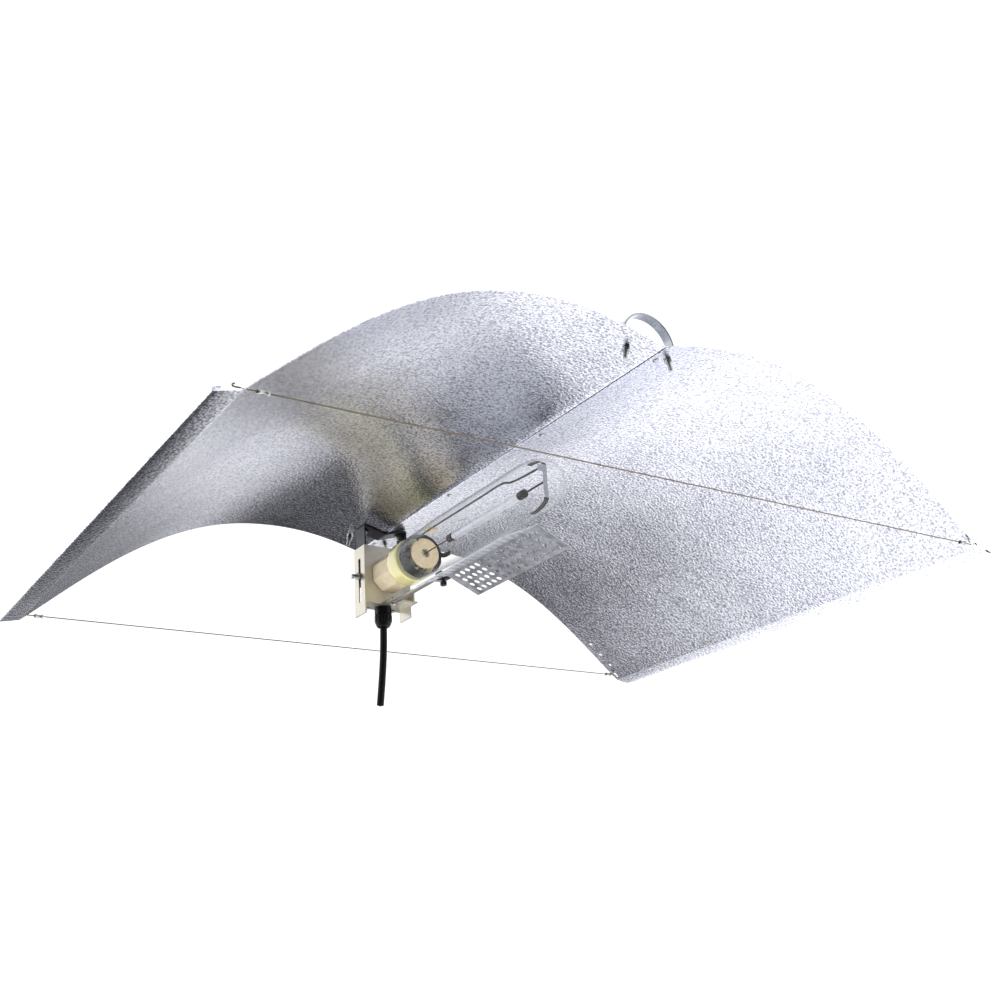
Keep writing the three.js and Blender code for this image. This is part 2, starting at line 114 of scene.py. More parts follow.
class GrowLampSizes(bpy.types.PropertyGroup):
    """Sizes a maker would change."""

    sheet_thickness: length_prop("Sheet", "Thickness of the reflector sheet", 0.0010)
    dimple: length_prop("Hammer mark", "Width of one mark of the hammered sheet", 0.0034)
    dimple_depth: length_prop("Mark depth", "Depth of the hammered marks", 0.00022)
    edge_round: length_prop("Edge round", "Rounding of cut sheet and strap edges", 0.0005)
    cord_diameter: length_prop("Cord", "Diameter of the supply cord", 0.0098)
    hole: length_prop("Spreader hole", "Diameter of the spreader's holes", 0.0075)
    hole_pitch: length_prop("Hole pitch", "Distance between the spreader's holes", 0.0117)


class GrowLampColours(bpy.types.PropertyGroup):
    """Colours a maker would change."""

    aluminium: colour_prop("Aluminium", "Bright rolled reflector sheet", "#F2F3F8")
    porcelain: colour_prop("Porcelain", "Glaze of the lampholder", "#E9E2A6")
    steatite: colour_prop("Steatite", "Bare ceramic of the lampholder's block", "#E6D8B8")
    plate: colour_prop("Carriage", "Passivated zinc of the folded plate", "#CCC7B9")
    cord: colour_prop("Cord", "Sheath of the supply cord", "#0D0D0E")
    floor: colour_prop("Floor", "Studio floor", "#F4F4F4")


def sizes():
    """The scene's size settings."""
    return bpy.context.scene.grow_lamp_sizes


def colours():
    """The scene's colour settings."""
    return bpy.context.scene.grow_lamp_colours


# ---------------------------------------------------------------- materials


def add_node(tree, kind, links=None, values=None, **settings):
    """Adds a node, sets its properties and socket values, and links its inputs.

    A key that names a property of the node sets that property, any other key sets the input
    socket of that name, with spaces written as underscores. `links` maps inputs to outputs, and
    `values` maps numbered inputs to constants.
    """
    node = tree.nodes.new(kind)
    for key, value in settings.items():
        if hasattr(node, key):
            setattr(node, key, value)
        else:
            node.inputs[key.replace("_", " ")].default_value = value
    for number, value in (values or {}).items():
        node.inputs[number].default_value = value
    for name, source in (links or {}).items():
        tree.links.new(source, node.inputs[name])
    return node


def new_material(name):
    """An empty material, its node tree and its output node."""
    material = bpy.data.materials.new(name)
    material.use_nodes = True
    tree = material.node_tree
    tree.nodes.clear()
    return material, tree, add_node(tree, "ShaderNodeOutputMaterial")


def finish_material(tree, output, shader):
    """Links the shader to the output."""
    tree.links.new(shader.outputs[0], output.inputs["Surface"])


def ramp(tree, source, stops):
    """A colour ramp through (position, linear colour) stops."""
    node = add_node(tree, "ShaderNodeValToRGB", {"Fac": source})
    elements = node.color_ramp.elements
    while len(elements) < len(stops):
        elements.new(0.5)
    for element, (position, colour) in zip(elements, stops):
        element.position = position
        element.color = colour
    return node.outputs["Color"]


def shade(colour, factor):
    """The colour made lighter or darker, its alpha kept."""
    return (*(min(1.0, c * factor) for c in colour[:3]), 1.0)


def per_metre(millimetres):
    """Texture scale for features of that size, in object coordinates."""
    return 1000.0 / millimetres


def surface_material(name, base, spread, patch_mm, grain_mm, bump_mm, rough, rough_spread,
                     metallic=0.0, stretch=(1, 1, 1), **principled):
    """A material with patches of colour, a fine grain in its relief and uneven gloss.

    `spread` is how far the patches go from the base colour, `patch_mm` and `grain_mm` are the
    sizes of patches and grain, `bump_mm` the relief, `stretch` the grain's scale along each axis.
    """
    material, tree, output = new_material(name)
    place = add_node(tree, "ShaderNodeTexCoord").outputs["Object"]
    patches = add_node(tree, "ShaderNodeTexNoise", {"Vector": place},
                       Scale=per_metre(patch_mm), Detail=4.0, Roughness=0.6).outputs["Fac"]
    stretched = add_node(tree, "ShaderNodeMapping", {"Vector": place}, Scale=stretch)
    grain = add_node(tree, "ShaderNodeTexNoise", {"Vector": stretched.outputs[0]},
                     Scale=per_metre(grain_mm), Detail=3.0, Roughness=0.55).outputs["Fac"]
    tint = ramp(tree, patches, [(0.3, shade(base, 1 - spread)), (0.7, shade(base, 1 + spread))])
    gloss = add_node(tree, "ShaderNodeMapRange", {"Value": patches}, From_Min=0.3, From_Max=0.7,
                     To_Min=rough - rough_spread, To_Max=rough + rough_spread)
    relief = add_node(tree, "ShaderNodeBump", {"Height": grain}, Strength=1.0,
                      Distance=bump_mm * MM)
    shader = add_node(tree, "ShaderNodeBsdfPrincipled",
                      {"Base Color": tint, "Roughness": gloss.outputs[0],
                       "Normal": relief.outputs[0]}, Metallic=metallic, **principled)
    finish_material(tree, output, shader)
    return material


def hammered_aluminium():
    """Aluminium sheet, bright rolled and stucco embossed: a mirror broken into small pillows,
    so every mark carries its own highlight and dark rim."""
    material, tree, output = new_material("Aluminium sheet, hammered")
    size = sizes()
    place = add_node(tree, "ShaderNodeTexCoord").outputs["Object"]
    wander = add_node(tree, "ShaderNodeTexNoise", {"Vector": place},
                      Scale=per_metre(5.0), Detail=2.0).outputs["Color"]
    bent = add_node(tree, "ShaderNodeVectorMath", {0: wander, 2: place},
                    {1: (0.0016, 0.0016, 0.0016)}, operation="MULTIPLY_ADD")
    marks = add_node(tree, "ShaderNodeTexVoronoi", {"Vector": bent.outputs[0]},
                     feature="SMOOTH_F1", Scale=1 / size.dimple, Smoothness=0.35,
                     Randomness=0.95).outputs["Distance"]
    fine = add_node(tree, "ShaderNodeTexNoise", {"Vector": place},
                    Scale=per_metre(1.6), Detail=2.0).outputs["Fac"]
    wave = add_node(tree, "ShaderNodeTexNoise", {"Vector": place},
                    Scale=per_metre(90.0), Detail=1.0).outputs["Fac"]
    coarse = add_node(tree, "ShaderNodeBump", {"Height": wave}, Strength=1.0, Distance=0.0007)
    pillows = add_node(tree, "ShaderNodeBump", {"Height": marks, "Normal": coarse.outputs[0]},
                       Strength=1.0, Distance=size.dimple_depth)
    relief = add_node(tree, "ShaderNodeBump", {"Height": fine, "Normal": pillows.outputs[0]},
                      Strength=0.5, Distance=0.00008)
    grime = add_node(tree, "ShaderNodeTexNoise", {"Vector": place},
                     Scale=per_metre(60.0), Detail=5.0, Roughness=0.65).outputs["Fac"]
    base = tuple(colours().aluminium)
    sheen = ramp(tree, grime, [(0.35, shade(base, 0.94)), (0.62, shade(base, 1.02))])
    # Painted shade: specks the size of a hammer mark darken the sheet to a cool grey, standing in
    # for the dark that the hollows between the pillows reflect.
    shade_speck_mask = add_node(tree, "ShaderNodeTexNoise", {"Vector": bent.outputs[0]},
                     Scale=per_metre(3.0), Detail=1.5, Roughness=0.6).outputs["Fac"]
    painted_speck_shade = ramp(tree, shade_speck_mask, [(0.38, linear("#BDBFC4")), (0.50, linear("#F2F3F6")),
                                (0.60, linear("#FFFFFF"))])
    tint = add_node(tree, "ShaderNodeMix", {6: sheen, 7: painted_speck_shade}, {0: 1.0}, data_type="RGBA",
                    blend_type="MULTIPLY")
    shader = add_node(tree, "ShaderNodeBsdfPrincipled",
                      {"Base Color": tint.outputs[2], "Normal": relief.outputs[0]},
                      Metallic=1.0, Roughness=0.24)
    finish_material(tree, output, shader)
    return material


def twisted_steel():
    """Steel wire, galvanised and drawn: grey-brown zinc with dark hollows between its strands."""
    return surface_material(
        "Steel wire, galvanised", linear("#8C8071"), spread=0.22, patch_mm=14, grain_mm=0.5,
        bump_mm=0.05, rough=0.42, rough_spread=0.08, metallic=1.0)


def glazed_porcelain():
    """Porcelain, pressed and glazed: creamy body under a glossy coat that pools in hollows."""
    return surface_material(
        "Porcelain, glazed", tuple(colours().porcelain), spread=0.05, patch_mm=16, grain_mm=2.2,
        bump_mm=0.03, rough=0.16, rough_spread=0.03, Coat_Weight=0.7, Coat_Roughness=0.05)


def bare_steatite():
    """Steatite, pressed and fired without glaze: matt, faintly speckled and sandy."""
    return surface_material(
        "Steatite, fired", tuple(colours().steatite), spread=0.10, patch_mm=9, grain_mm=0.6,
        bump_mm=0.06, rough=0.55, rough_spread=0.08)


def passivated_plate():
    """Steel sheet, folded and zinc plated: greyish cream with a soft spangle and rubbed edges."""
    return surface_material(
        "Steel sheet, passivated zinc", tuple(colours().plate), spread=0.10, patch_mm=18,
        grain_mm=0.5, bump_mm=0.02, rough=0.36, rough_spread=0.08, metallic=0.75)


def bright_zinc():
    """Mild steel, turned or pressed and bright zinc plated: cool grey with fine tool lines."""
    return surface_material(
        "Mild steel, bright zinc", linear("#B9BBB8"), spread=0.12, patch_mm=6, grain_mm=0.35,
        bump_mm=0.03, rough=0.32, rough_spread=0.08, metallic=1.0)


def brushed_arm():
    """Steel flat bar, drawn and zinc plated: grain lines run along its length."""
    return surface_material(
        "Steel bar, drawn", linear("#BDBCB6"), spread=0.10, patch_mm=10, grain_mm=0.7,
        bump_mm=0.03, rough=0.34, rough_spread=0.06, metallic=1.0, stretch=(1, 0.05, 1))


def polished_band():
    """Stainless steel strip, rolled and polished: hard dark and white bands of reflection."""
    return surface_material(
        "Stainless strip, polished", linear("#A9ACB0"), spread=0.08, patch_mm=12, grain_mm=0.8,
        bump_mm=0.006, rough=0.10, rough_spread=0.03, metallic=1.0)


def lacquered_steel():
    """Steel strip, bent and black lacquered: satin, with grey where it rubs."""
    return surface_material(
        "Steel strip, black lacquer", linear("#222224"), spread=0.25, patch_mm=12, grain_mm=0.9,
        bump_mm=0.03, rough=0.42, rough_spread=0.08, Coat_Weight=0.2, Coat_Roughness=0.25)


def moulded_nylon():
    """Polyamide, injection moulded in black: fine spark-eroded texture and a soft sheen."""
    return surface_material(
        "Polyamide, moulded", linear("#0E0E0F"), spread=0.18, patch_mm=8, grain_mm=0.5,
        bump_mm=0.03, rough=0.42, rough_spread=0.07, Specular_IOR_Level=0.35)


def cord_sheath():
    """PVC sheath, extruded: black, slightly waxy, with drawing lines along it."""
    return surface_material(
        "PVC sheath, extruded", tuple(colours().cord), spread=0.15, patch_mm=14, grain_mm=0.9,
        bump_mm=0.02, rough=0.45, rough_spread=0.07, stretch=(1, 1, 0.08),
        Specular_IOR_Level=0.35)


def nickelled_brass():
    """Brass, rolled to a thread and nickelled: warm grey with bright crests."""
    return surface_material(
        "Brass, nickelled", linear("#C8BC9A"), spread=0.12, patch_mm=5, grain_mm=0.4,
        bump_mm=0.02, rough=0.28, rough_spread=0.07, metallic=1.0)


def perforated_mill():
    """Aluminium sheet, punched and left mill finished: dull grey with rolling lines."""
    return surface_material(
        "Aluminium sheet, punched", linear("#CDCFD3"), spread=0.10, patch_mm=12, grain_mm=0.6,
        bump_mm=0.03, rough=0.36, rough_spread=0.08, metallic=1.0, stretch=(1, 0.1, 1))


def clear_glass():
    """Hard glass, drawn: almost invisible face on, with a painted dark refraction line and gloss
    along its rims.
    """
    material, tree, output = new_material("Hard glass, drawn")
    place = add_node(tree, "ShaderNodeTexCoord").outputs["Object"]
    wave = add_node(tree, "ShaderNodeTexNoise", {"Vector": place},
                    Scale=per_metre(34.0), Detail=1.0).outputs["Fac"]
    relief = add_node(tree, "ShaderNodeBump", {"Height": wave}, Strength=1.0, Distance=0.0004)
    rim = add_node(tree, "ShaderNodeLayerWeight", {"Normal": relief.outputs[0]}, Blend=0.5)
    cover = ramp(tree, rim.outputs["Facing"], [
        (at, (grey, grey, grey, 1))
        for at, grey in ((0.0, 0.02), (0.55, 0.05), (0.78, 0.26), (0.94, 0.8))])
    # Painted shade: the base colour turns dark grey at glancing angles, painting the dark line
    # that refraction draws along the glass's rims.
    tint = ramp(tree, rim.outputs["Facing"],
                [(0.5, linear("#F4F7F8")), (0.95, linear("#6E777C"))])
    shader = add_node(tree, "ShaderNodeBsdfPrincipled",
                      {"Base Color": tint, "Alpha": cover, "Normal": relief.outputs[0]},
                      Roughness=0.03, IOR=1.47, Coat_Weight=0.5, Coat_Roughness=0.02)
    finish_material(tree, output, shader)
    return material


def getter_film():
    """Barium film, flashed onto glass: a near-black mirror with brown, mottled edges."""
    return surface_material(
        "Barium film, flashed", linear("#060403"), spread=0.6, patch_mm=7, grain_mm=1.4,
        bump_mm=0.12, rough=0.14, rough_spread=0.06, Specular_IOR_Level=0.25)


def fired_ceramic():
    """Alumina ceramic, pressed and fired: beige, chalky, with small pits."""
    return surface_material(
        "Alumina ceramic, pressed", linear("#E6D3AC"), spread=0.12, patch_mm=5, grain_mm=0.7,
        bump_mm=0.10, rough=0.6, rough_spread=0.08)


def sintered_alumina():
    """Alumina tube, sintered: milky and faintly translucent."""
    return surface_material(
        "Alumina tube, sintered", linear("#DDE0E4"), spread=0.06, patch_mm=8, grain_mm=0.6,
        bump_mm=0.02, rough=0.3, rough_spread=0.05, Subsurface_Weight=0.25,
        Subsurface_Scale=0.002)


def heat_dark_nickel():
    """Nickel and niobium, drawn: dark and slightly blue from the lamp's heat."""
    return surface_material(
        "Nickel wire, heat darkened", linear("#3B3633"), spread=0.25, patch_mm=5, grain_mm=0.4,
        bump_mm=0.03, rough=0.35, rough_spread=0.08, metallic=1.0)


def studio_floor():
    """Seamless paper, laid flat: matt and almost white."""
    return surface_material(
        "Seamless paper, matt", tuple(colours().floor), spread=0.01, patch_mm=700, grain_mm=6,
        bump_mm=0.02, rough=0.9, rough_spread=0.03)


MAKERS = {
    "stucco": hammered_aluminium, "wire": twisted_steel, "porcelain": glazed_porcelain,
    "steatite": bare_steatite, "plate": passivated_plate, "zinc": bright_zinc,
    "arm": brushed_arm, "band": polished_band, "black_steel": lacquered_steel,
    "nylon": moulded_nylon, "sheath": cord_sheath, "brass": nickelled_brass,
    "punched": perforated_mill, "glass": clear_glass, "getter": getter_film,
    "ceramic": fired_ceramic, "alumina": sintered_alumina, "nickel": heat_dark_nickel,
    "paper": studio_floor,
}
_made = {}


def material(key):
    """The material of that key, made once."""
    if key not in _made:
        _made[key] = MAKERS[key]()
    return _made[key]


# ---------------------------------------------------------------- mesh helpers


def finish_piece(name, bm, key, smooth=40):
    """Turns a bmesh into a shaded object in the scene."""
    bmesh.ops.remove_doubles(bm, verts=bm.verts, dist=1e-7)
    bmesh.ops.recalc_face_normals(bm, faces=bm.faces)
    mesh = bpy.data.meshes.new(name)
    bm.to_mesh(mesh)
    bm.free()
    obj = bpy.data.objects.new(name, mesh)
    bpy.context.scene.collection.objects.link(obj)
    obj.data.materials.append(material(key))
    mesh.shade_smooth()
    if smooth < 180:
        mesh.set_sharp_from_angle(angle=math.radians(smooth))
    return obj


def apply_modifiers(obj):
    """Bakes the object's modifiers into its mesh."""
    depsgraph = bpy.context.evaluated_depsgraph_get()
    done = bpy.data.meshes.new_from_object(obj.evaluated_get(depsgraph))
    obj.modifiers.clear()
    obj.data = done
    return obj


def bevelled(obj, width, segments=2, angle=35):
    """Rounds the object's edges."""
    mod = obj.modifiers.new("round", "BEVEL")
    mod.width, mod.segments = width, segments
    mod.limit_method, mod.angle_limit = "ANGLE", math.radians(angle)
    return apply_modifiers(obj)


def settle(obj, body, slot, *nodes):
    """Puts the piece under its CAD body's empty and hides the CAD nodes it stands for; `slot` is
    not used.
    """
    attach(obj, body)
    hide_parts(*nodes)
    return obj


def spin(bm, profile, sides, wobble=None, offset=Matrix.Identity(4)):
    """A surface of revolution about Z through (radius, height) points, closed if the profile is.

    `wobble(angle, radius, height)` returns the radius to use there.
    """
    rings = []
    for r, h in profile:
        if r < 1e-7:
            rings.append([bm.verts.new(offset @ Vector((0, 0, h)))])
            continue
        ring = []
        for k in range(sides):
            a = 2 * math.pi * k / sides
            rr = wobble(a, r, h) if wobble else r
            ring.append(bm.verts.new(offset @ Vector((rr * math.cos(a), rr * math.sin(a), h))))
        rings.append(ring)
    for low, high in zip(rings, rings[1:]):
        for k in range(sides):
            n = (k + 1) % sides
            corners = (low[k % len(low)], low[n % len(low)], high[n % len(high)],
                       high[k % len(high)])
            unique = list(dict.fromkeys(corners))
            if len(unique) > 2:
                bm.faces.new(unique)


def towards(at, direction):
    """A matrix that takes +Z to the direction and the origin to the point."""
    turn = Vector((0, 0, 1)).rotation_difference(Vector(direction)).to_matrix().to_4x4()
    return Matrix.Translation(Vector(at)) @ turn


def along_lamp():
    """A matrix that takes +Z to +Y on the lamp's axis."""
    x, z = lamp_axis()
    return towards((x, 0, z), (0, 1, 0))


def middle(node):
    """The middle of a CAD node's box."""
    low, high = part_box(node)
    return (low + high) / 2


def lamp_axis():
    """The lamp's axis, x and z."""
    centre = middle("lamp_envelope")
    return centre.x, centre.z


def loft(bm, rings):
    """Joins closed rings of equally many vertices, each to the next."""
    for a, b in zip(rings, rings[1:]):
        for k in range(len(a)):
            n = (k + 1) % len(a)
            bm.faces.new((a[k], a[n], b[n], b[k]))


def extrude_outline(bm, outline, y0, y1, steps=1):
    """A prism along Y of a closed outline of (x, z) points."""
    rings = []
    for j in range(steps + 1):
        y = y0 + (y1 - y0) * j / steps
        rings.append([bm.verts.new((x, y, z)) for x, z in outline])
    loft(bm, rings)
    return rings


def cap_strip(bm, ring):
    """Closes a strip's end: its outline runs out along one side and back along the other."""
    count = len(ring) // 2
    for k in range(count - 1):
        bm.faces.new((ring[k], ring[k + 1], ring[-2 - k], ring[-1 - k]))


def strip_outline(line, thickness):
    """The outline of a strip of that thickness about an open line of (x, z) points."""
    pts = [Vector(p) for p in line]
    sides = ([], [])
    for i, p in enumerate(pts):
        d0 = (p - pts[i - 1]).normalized() if i else (pts[1] - p).normalized()
        d1 = (pts[i + 1] - p).normalized() if i + 1 < len(pts) else d0
        n0, n1 = Vector((-d0.y, d0.x)), Vector((-d1.y, d1.x))
        n = (n0 + n1).normalized()
        reach = thickness / 2 / max(0.5, n.dot(n0))
        sides[0].append(p + n * reach)
        sides[1].append(p - n * reach)
    return [tuple(v) for v in sides[0] + sides[1][::-1]]


def rounded_line(line, radius, steps=6):
    """The open line of points with its corners rounded."""
    pts = [Vector(p) for p in line]
    out = [pts[0]]
    for a, b, c in zip(pts, pts[1:], pts[2:]):
        u, v = (a - b), (c - b)
        cut = min(radius, u.length / 2, v.length / 2)
        p0, p2 = b + u.normalized() * cut, b + v.normalized() * cut
        for i in range(steps + 1):
            t = i / steps
            out.append(p0 * (1 - t) ** 2 + b * 2 * t * (1 - t) + p2 * t * t)
    out.append(pts[-1])
    return out


def smooth_path(points, per_span=8):
    """A Catmull-Rom curve through the points."""
    pts = [Vector(p) for p in points]
    out = []
    for i in range(len(pts) - 1):
        p0, p1, p2, p3 = (pts[max(i - 1, 0)], pts[i], pts[i + 1], pts[min(i + 2, len(pts) - 1)])
        for k in range(per_span):
            t = k / per_span
            out.append(0.5 * ((2 * p1) + (p2 - p0) * t + (2 * p0 - 5 * p1 + 4 * p2 - p3) * t * t
                              + (3 * p1 - p0 - 3 * p2 + p3) * t ** 3))
    out.append(pts[-1])
    return out


def sweep(bm, path, radius, sides, lobes=0, lobe_depth=0.0, twist_pitch=1.0):
    """A closed rod along the path; `lobes` strands twist round it once each `twist_pitch`."""
    path = [Vector(p) for p in path]
    across = Vector((0, 1, 0))
    first = (path[1] - path[0]).normalized()
    if abs(first.dot(across)) > 0.7:
        across = Vector((1, 0, 0))
    rings, travelled = [], 0.0
    for i, p in enumerate(path):
        along = (path[min(i + 1, len(path) - 1)] - path[max(i - 1, 0)]).normalized()
        across = (across - along * across.dot(along)).normalized()
        out = along.cross(across)
        if i:
            travelled += (p - path[i - 1]).length
        turn = 2 * math.pi * travelled / twist_pitch
        ring = []
        for k in range(sides):
            a = 2 * math.pi * k / sides
            r = radius - (lobe_depth * (0.5 - 0.5 * math.cos(lobes * a)) if lobes else 0)
            ring.append(bm.verts.new(p + across * (r * math.cos(a + turn))
                                     + out * (r * math.sin(a + turn))))
        rings.append(ring)
    loft(bm, rings)
    for ring, p, step in ((rings[0], path[0], path[0] - path[1]),
                          (rings[-1], path[-1], path[-1] - path[-2])):
        tip = bm.verts.new(p + step.normalized() * radius * 0.3)
        for k in range(sides):
            bm.faces.new((ring[k], ring[(k + 1) % sides], tip))


def turned(name, profile, sides, key, place, smooth=40, wobble=None):
    """A piece turned about Z through (radius, height) points, put where `place` says."""
    bm = bmesh.new()
    spin(bm, profile, sides, wobble, place)
    return finish_piece(name, bm, key, smooth)


def in_mm(points):
    """The points with their millimetres as metres."""
    return [tuple(c * MM for c in point) for point in points]


def folded_strip(name, line, thickness, y0, y1, key):
    """A strip bent along an open line of (x, z) points, from y0 to y1."""
    bm = bmesh.new()
    rings = extrude_outline(bm, strip_outline(line, thickness), y0, y1)
    cap_strip(bm, rings[0])
    cap_strip(bm, rings[-1])
    return finish_piece(name, bm, key)


def leaf(bm, line, thickness, half, place):
    """A leaf spring along a line of (a, b) points; `place(a, b, w)` gives a point w across it."""
    outline = strip_outline(line, thickness)
    rings = [[bm.verts.new(place(a, b, w)) for a, b in outline] for w in (-half, half)]
    loft(bm, rings)
    cap_strip(bm, rings[0])
    cap_strip(bm, rings[1])


def brick(bm, low, high):
    """A box between two corners."""
    low, size = Vector(low), Vector(high) - Vector(low)
    for v in bmesh.ops.create_cube(bm, size=1.0)["verts"]:
        v.co = Vector([(c + 0.5) * reach + start for c, reach, start in zip(v.co, size, low)])


def cut_holes(obj, holes):
    """Drills round holes given as (point, direction, radius, half length)."""
    bm = bmesh.new()
    for at, direction, radius, half in holes:
        spin(bm, [(0, -half), (radius, -half), (radius, half), (0, half)], 20,
             offset=towards(at, direction))
    bmesh.ops.recalc_face_normals(bm, faces=bm.faces)
    mesh = bpy.data.meshes.new("drill")
    bm.to_mesh(mesh)
    bm.free()
    drill = bpy.data.objects.new("drill", mesh)
    bpy.context.scene.collection.objects.link(drill)
    mod = obj.modifiers.new("holes", "BOOLEAN")
    mod.operation, mod.solver, mod.object = "DIFFERENCE", "EXACT", drill
    apply_modifiers(obj)
    bpy.data.objects.remove(drill)
    return obj


# ---------------------------------------------------------------- reflector


def wing_point(t):
    """A point of the right wing's curve, x and z in metres."""
    s = 1 - t
    w = (s ** 3, 3 * s * s * t, 3 * s * t * t, t ** 3)
    x = sum(a * p[0] for a, p in zip(w, WING)) * MM
    z = sum(a * p[1] for a, p in zip(w, WING)) * MM
    return x, z + RIDGE_Z


def wing_t(x):
    """The curve's parameter where it reaches x."""
    low, high = 0.0, 1.0
    for _ in range(40):
        mid = (low + high) / 2
        if wing_point(mid)[0] < x:
            low = mid
        else:
            high = mid
    return low


def wing_z(x):
    """Height of the sheet's middle at x."""
    return wing_point(wing_t(abs(x)))[1]


def wing_normal(x):
    """The sheet's upward normal at x."""
    side = 1 if x > 0 else -1
    slope = (wing_z(abs(x) + 5e-4) - wing_z(abs(x) - 5e-4)) / 1e-3 * side
    return Vector((-slope, 0, 1)).normalized()


def wing_line():
    """Points of the right wing from the ridge to its hemmed outer lip, x and z."""
    line = [wing_point(wing_t(0.0003) + (1 - wing_t(0.0003)) * i / 84) for i in range(85)]
    tip_x, tip_z = line[-1]
    edge = (tip_x + 0.023, tip_z - 0.005)
    line.append((tip_x + 0.0012, tip_z - 0.0006))
    line += [(edge[0] - 0.004, edge[1] + 0.0009), edge]
    hem = 0.0016
    for degrees in (-60, -30, 0, 30, 60):
        a = math.radians(degrees)
        line.append((edge[0] + hem * math.cos(a), edge[1] + hem + hem * math.sin(a)))
    line += [(edge[0] - 0.001, edge[1] + 2 * hem + 0.0004),
             (edge[0] - 0.006, edge[1] + 2 * hem + 0.0016)]
    return line


def wing_holes(side):
    """A wing's holes, as cut_holes takes them: spare, for its tie wire and beside the ridge."""
    holes = []
    for end in (-1, 1):
        for x in (0.448, 0.430, 0.412):  # spare holes that set the wings' spread
            at = (side * x, end * (END_Y - 0.014), wing_z(x))
            holes.append((at, wing_normal(side * x), 0.0025, 0.006))
        holes.append(((side * 0.464, end * 0.3433, WIRE_Z), (1, 0, 0), 0.0032, 0.009))
        if end < 0:
            for y in (-0.250, -0.217):
                at = (side * 0.025, y, wing_z(0.025))
                holes.append((at, wing_normal(side * 0.025), 0.0016, 0.006))
    return holes


class LAMP_OT_wings(bpy.types.Operator):
    """Build both reflector wings as one curved sheet each"""

    bl_idname = "grow_lamp.wings"
    bl_label = "Wings"

    def execute(self, context):
        for side, name in ((-1, "left"), (1, "right")):
            line = [(side * x, z) for x, z in wing_line()]
            if side < 0:
                # the left sheet laps over the right one along the ridge
                lap_z = RIDGE_Z + 0.0013
                lap = [(0.018, wing_z(0.018) + 0.00135), (0.002, lap_z + 0.0007),
                       (-0.0026, lap_z - 0.00013)]
                line = lap + [p for p in line if p[0] < -0.006]
            bm = bmesh.new()
            outline = strip_outline(line, sizes().sheet_thickness)
            rings = extrude_outline(bm, outline, -END_Y, END_Y, 26)
            cap_strip(bm, rings[0])
            cap_strip(bm, rings[-1])
            for v in bm.verts:
                # slight unevenness left by rolling, none at the ends and the fixings
                grow = min(1.0, max(0.0, (abs(v.co.x) - 0.08) / 0.08))
                wave = noise.noise(Vector((v.co.x * 7, v.co.y * 5, side * 3.1)))
                if abs(v.co.x) < 0.46:
                    v.co.z += 0.0011 * wave * grow
            sheet = finish_piece(f"{name}_wing_sheet", bm, "stucco", 50)
            cut_holes(sheet, wing_holes(side))
            sheet.data.shade_smooth()
            sheet.data.set_sharp_from_angle(angle=math.radians(35))
            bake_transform(sheet)
            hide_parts(f"{name}_sheet_root", f"{name}_wing")
        return {"FINISHED"}


class LAMP_OT_ridge_rivets(bpy.types.Operator):
    """Build the domed rivets along the ridge"""

    bl_idname = "grow_lamp.ridge_rivets"
    bl_label = "Ridge rivets"

    def execute(self, context):
        profile = [(0, -2.6), (1.4, -2.5), (2.8, -1.9), (3.5, -1.0), (3.6, -0.8), (2.0, -0.8),
                   (2.0, 2.25), (3.4, 2.25), (3.2, 2.8), (2.2, 3.4), (0, 3.6)]
        for i in range(1, 5):
            y = middle(f"ridge_rivet_{i}").y
            place = towards((RIVET_X, y, wing_z(RIVET_X)), wing_normal(RIVET_X))
            settle(turned(f"rivet_{i}", in_mm(profile), 24, "zinc", place), "frame",
                   "zinc_steel", f"ridge_rivet_{i}")
        return {"FINISHED"}


class LAMP_OT_arches(bpy.types.Operator):
    """Build the two polished hanging arches"""

    bl_idname = "grow_lamp.arches"
    bl_label = "Hanging arches"

    def execute(self, context):
        radius, thick = 0.0345, 0.002

        def foot(x):
            return wing_z(x) + 0.0018 / wing_normal(x).z

        for name in ("front", "rear"):
            low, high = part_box(f"{name}_arch")
            centre = high.z - thick / 2 - radius
            line = [(0.0205, foot(0.0205)), (radius - 0.002, foot(radius - 0.002)),
                    (radius - 0.0004, foot(radius) + 0.0006), (radius, foot(radius) + 0.0024)]
            line += [(radius * math.cos(math.pi * i / 48), centre + radius
                      * math.sin(math.pi * i / 48)) for i in range(49)]
            line += [(-x, z) for x, z in line[:4][::-1]]
            band = folded_strip(f"{name}_hanging_arch", line, thick, low.y, high.y, "band")
            cut_holes(band, [((s * ARCH_BOLT_X, (low.y + high.y) / 2, wing_z(ARCH_BOLT_X)),
                              wing_normal(s * ARCH_BOLT_X), BOLT_HOLE, 0.008) for s in (-1, 1)])
            bevelled(band, sizes().edge_round, 2, 50)
            settle(band, "frame", "chromed_steel", f"{name}_arch")
        return {"FINISHED"}


M5 = 0.0025  # radius of the bolts' shanks
ACROSS_FLATS = 0.008


def thread_profile(radius, low, high, pitch=0.0008, depth=0.0003):
    """Profile points of a threaded shank from high down to low."""
    count = max(2, int((high - low) / pitch))
    return [(radius - (depth if i % 2 else 0), high - (high - low) * i / count)
            for i in range(count + 1)]


def hexed(across):
    """Keeps a spun radius inside a hexagon of that width across its flats."""
    def radius_at(angle, radius, height):
        a = (angle + math.pi / 6) % (math.pi / 3) - math.pi / 6
        return min(radius, across / 2 / math.cos(a))
    return radius_at


def build_bolt(name, at, direction, head_z, tail_z):
    """A hexagon bolt with a threaded tail."""
    head = [(0, 0.0034), (0.0035, 0.0034), (0.0041, 0.0031), (0.0046, 0.0024), (0.0046, 0.0002),
            (0.0040, 0), (M5, 0), (M5, -0.0006)]
    profile = [(r, head_z + h) for r, h in head]
    profile += thread_profile(M5, tail_z + 0.0006, head_z - 0.0012)
    profile += [(0.0018, tail_z), (0, tail_z)]
    return turned(name, profile, 36, "zinc", towards(at, direction), 30, hexed(ACROSS_FLATS))


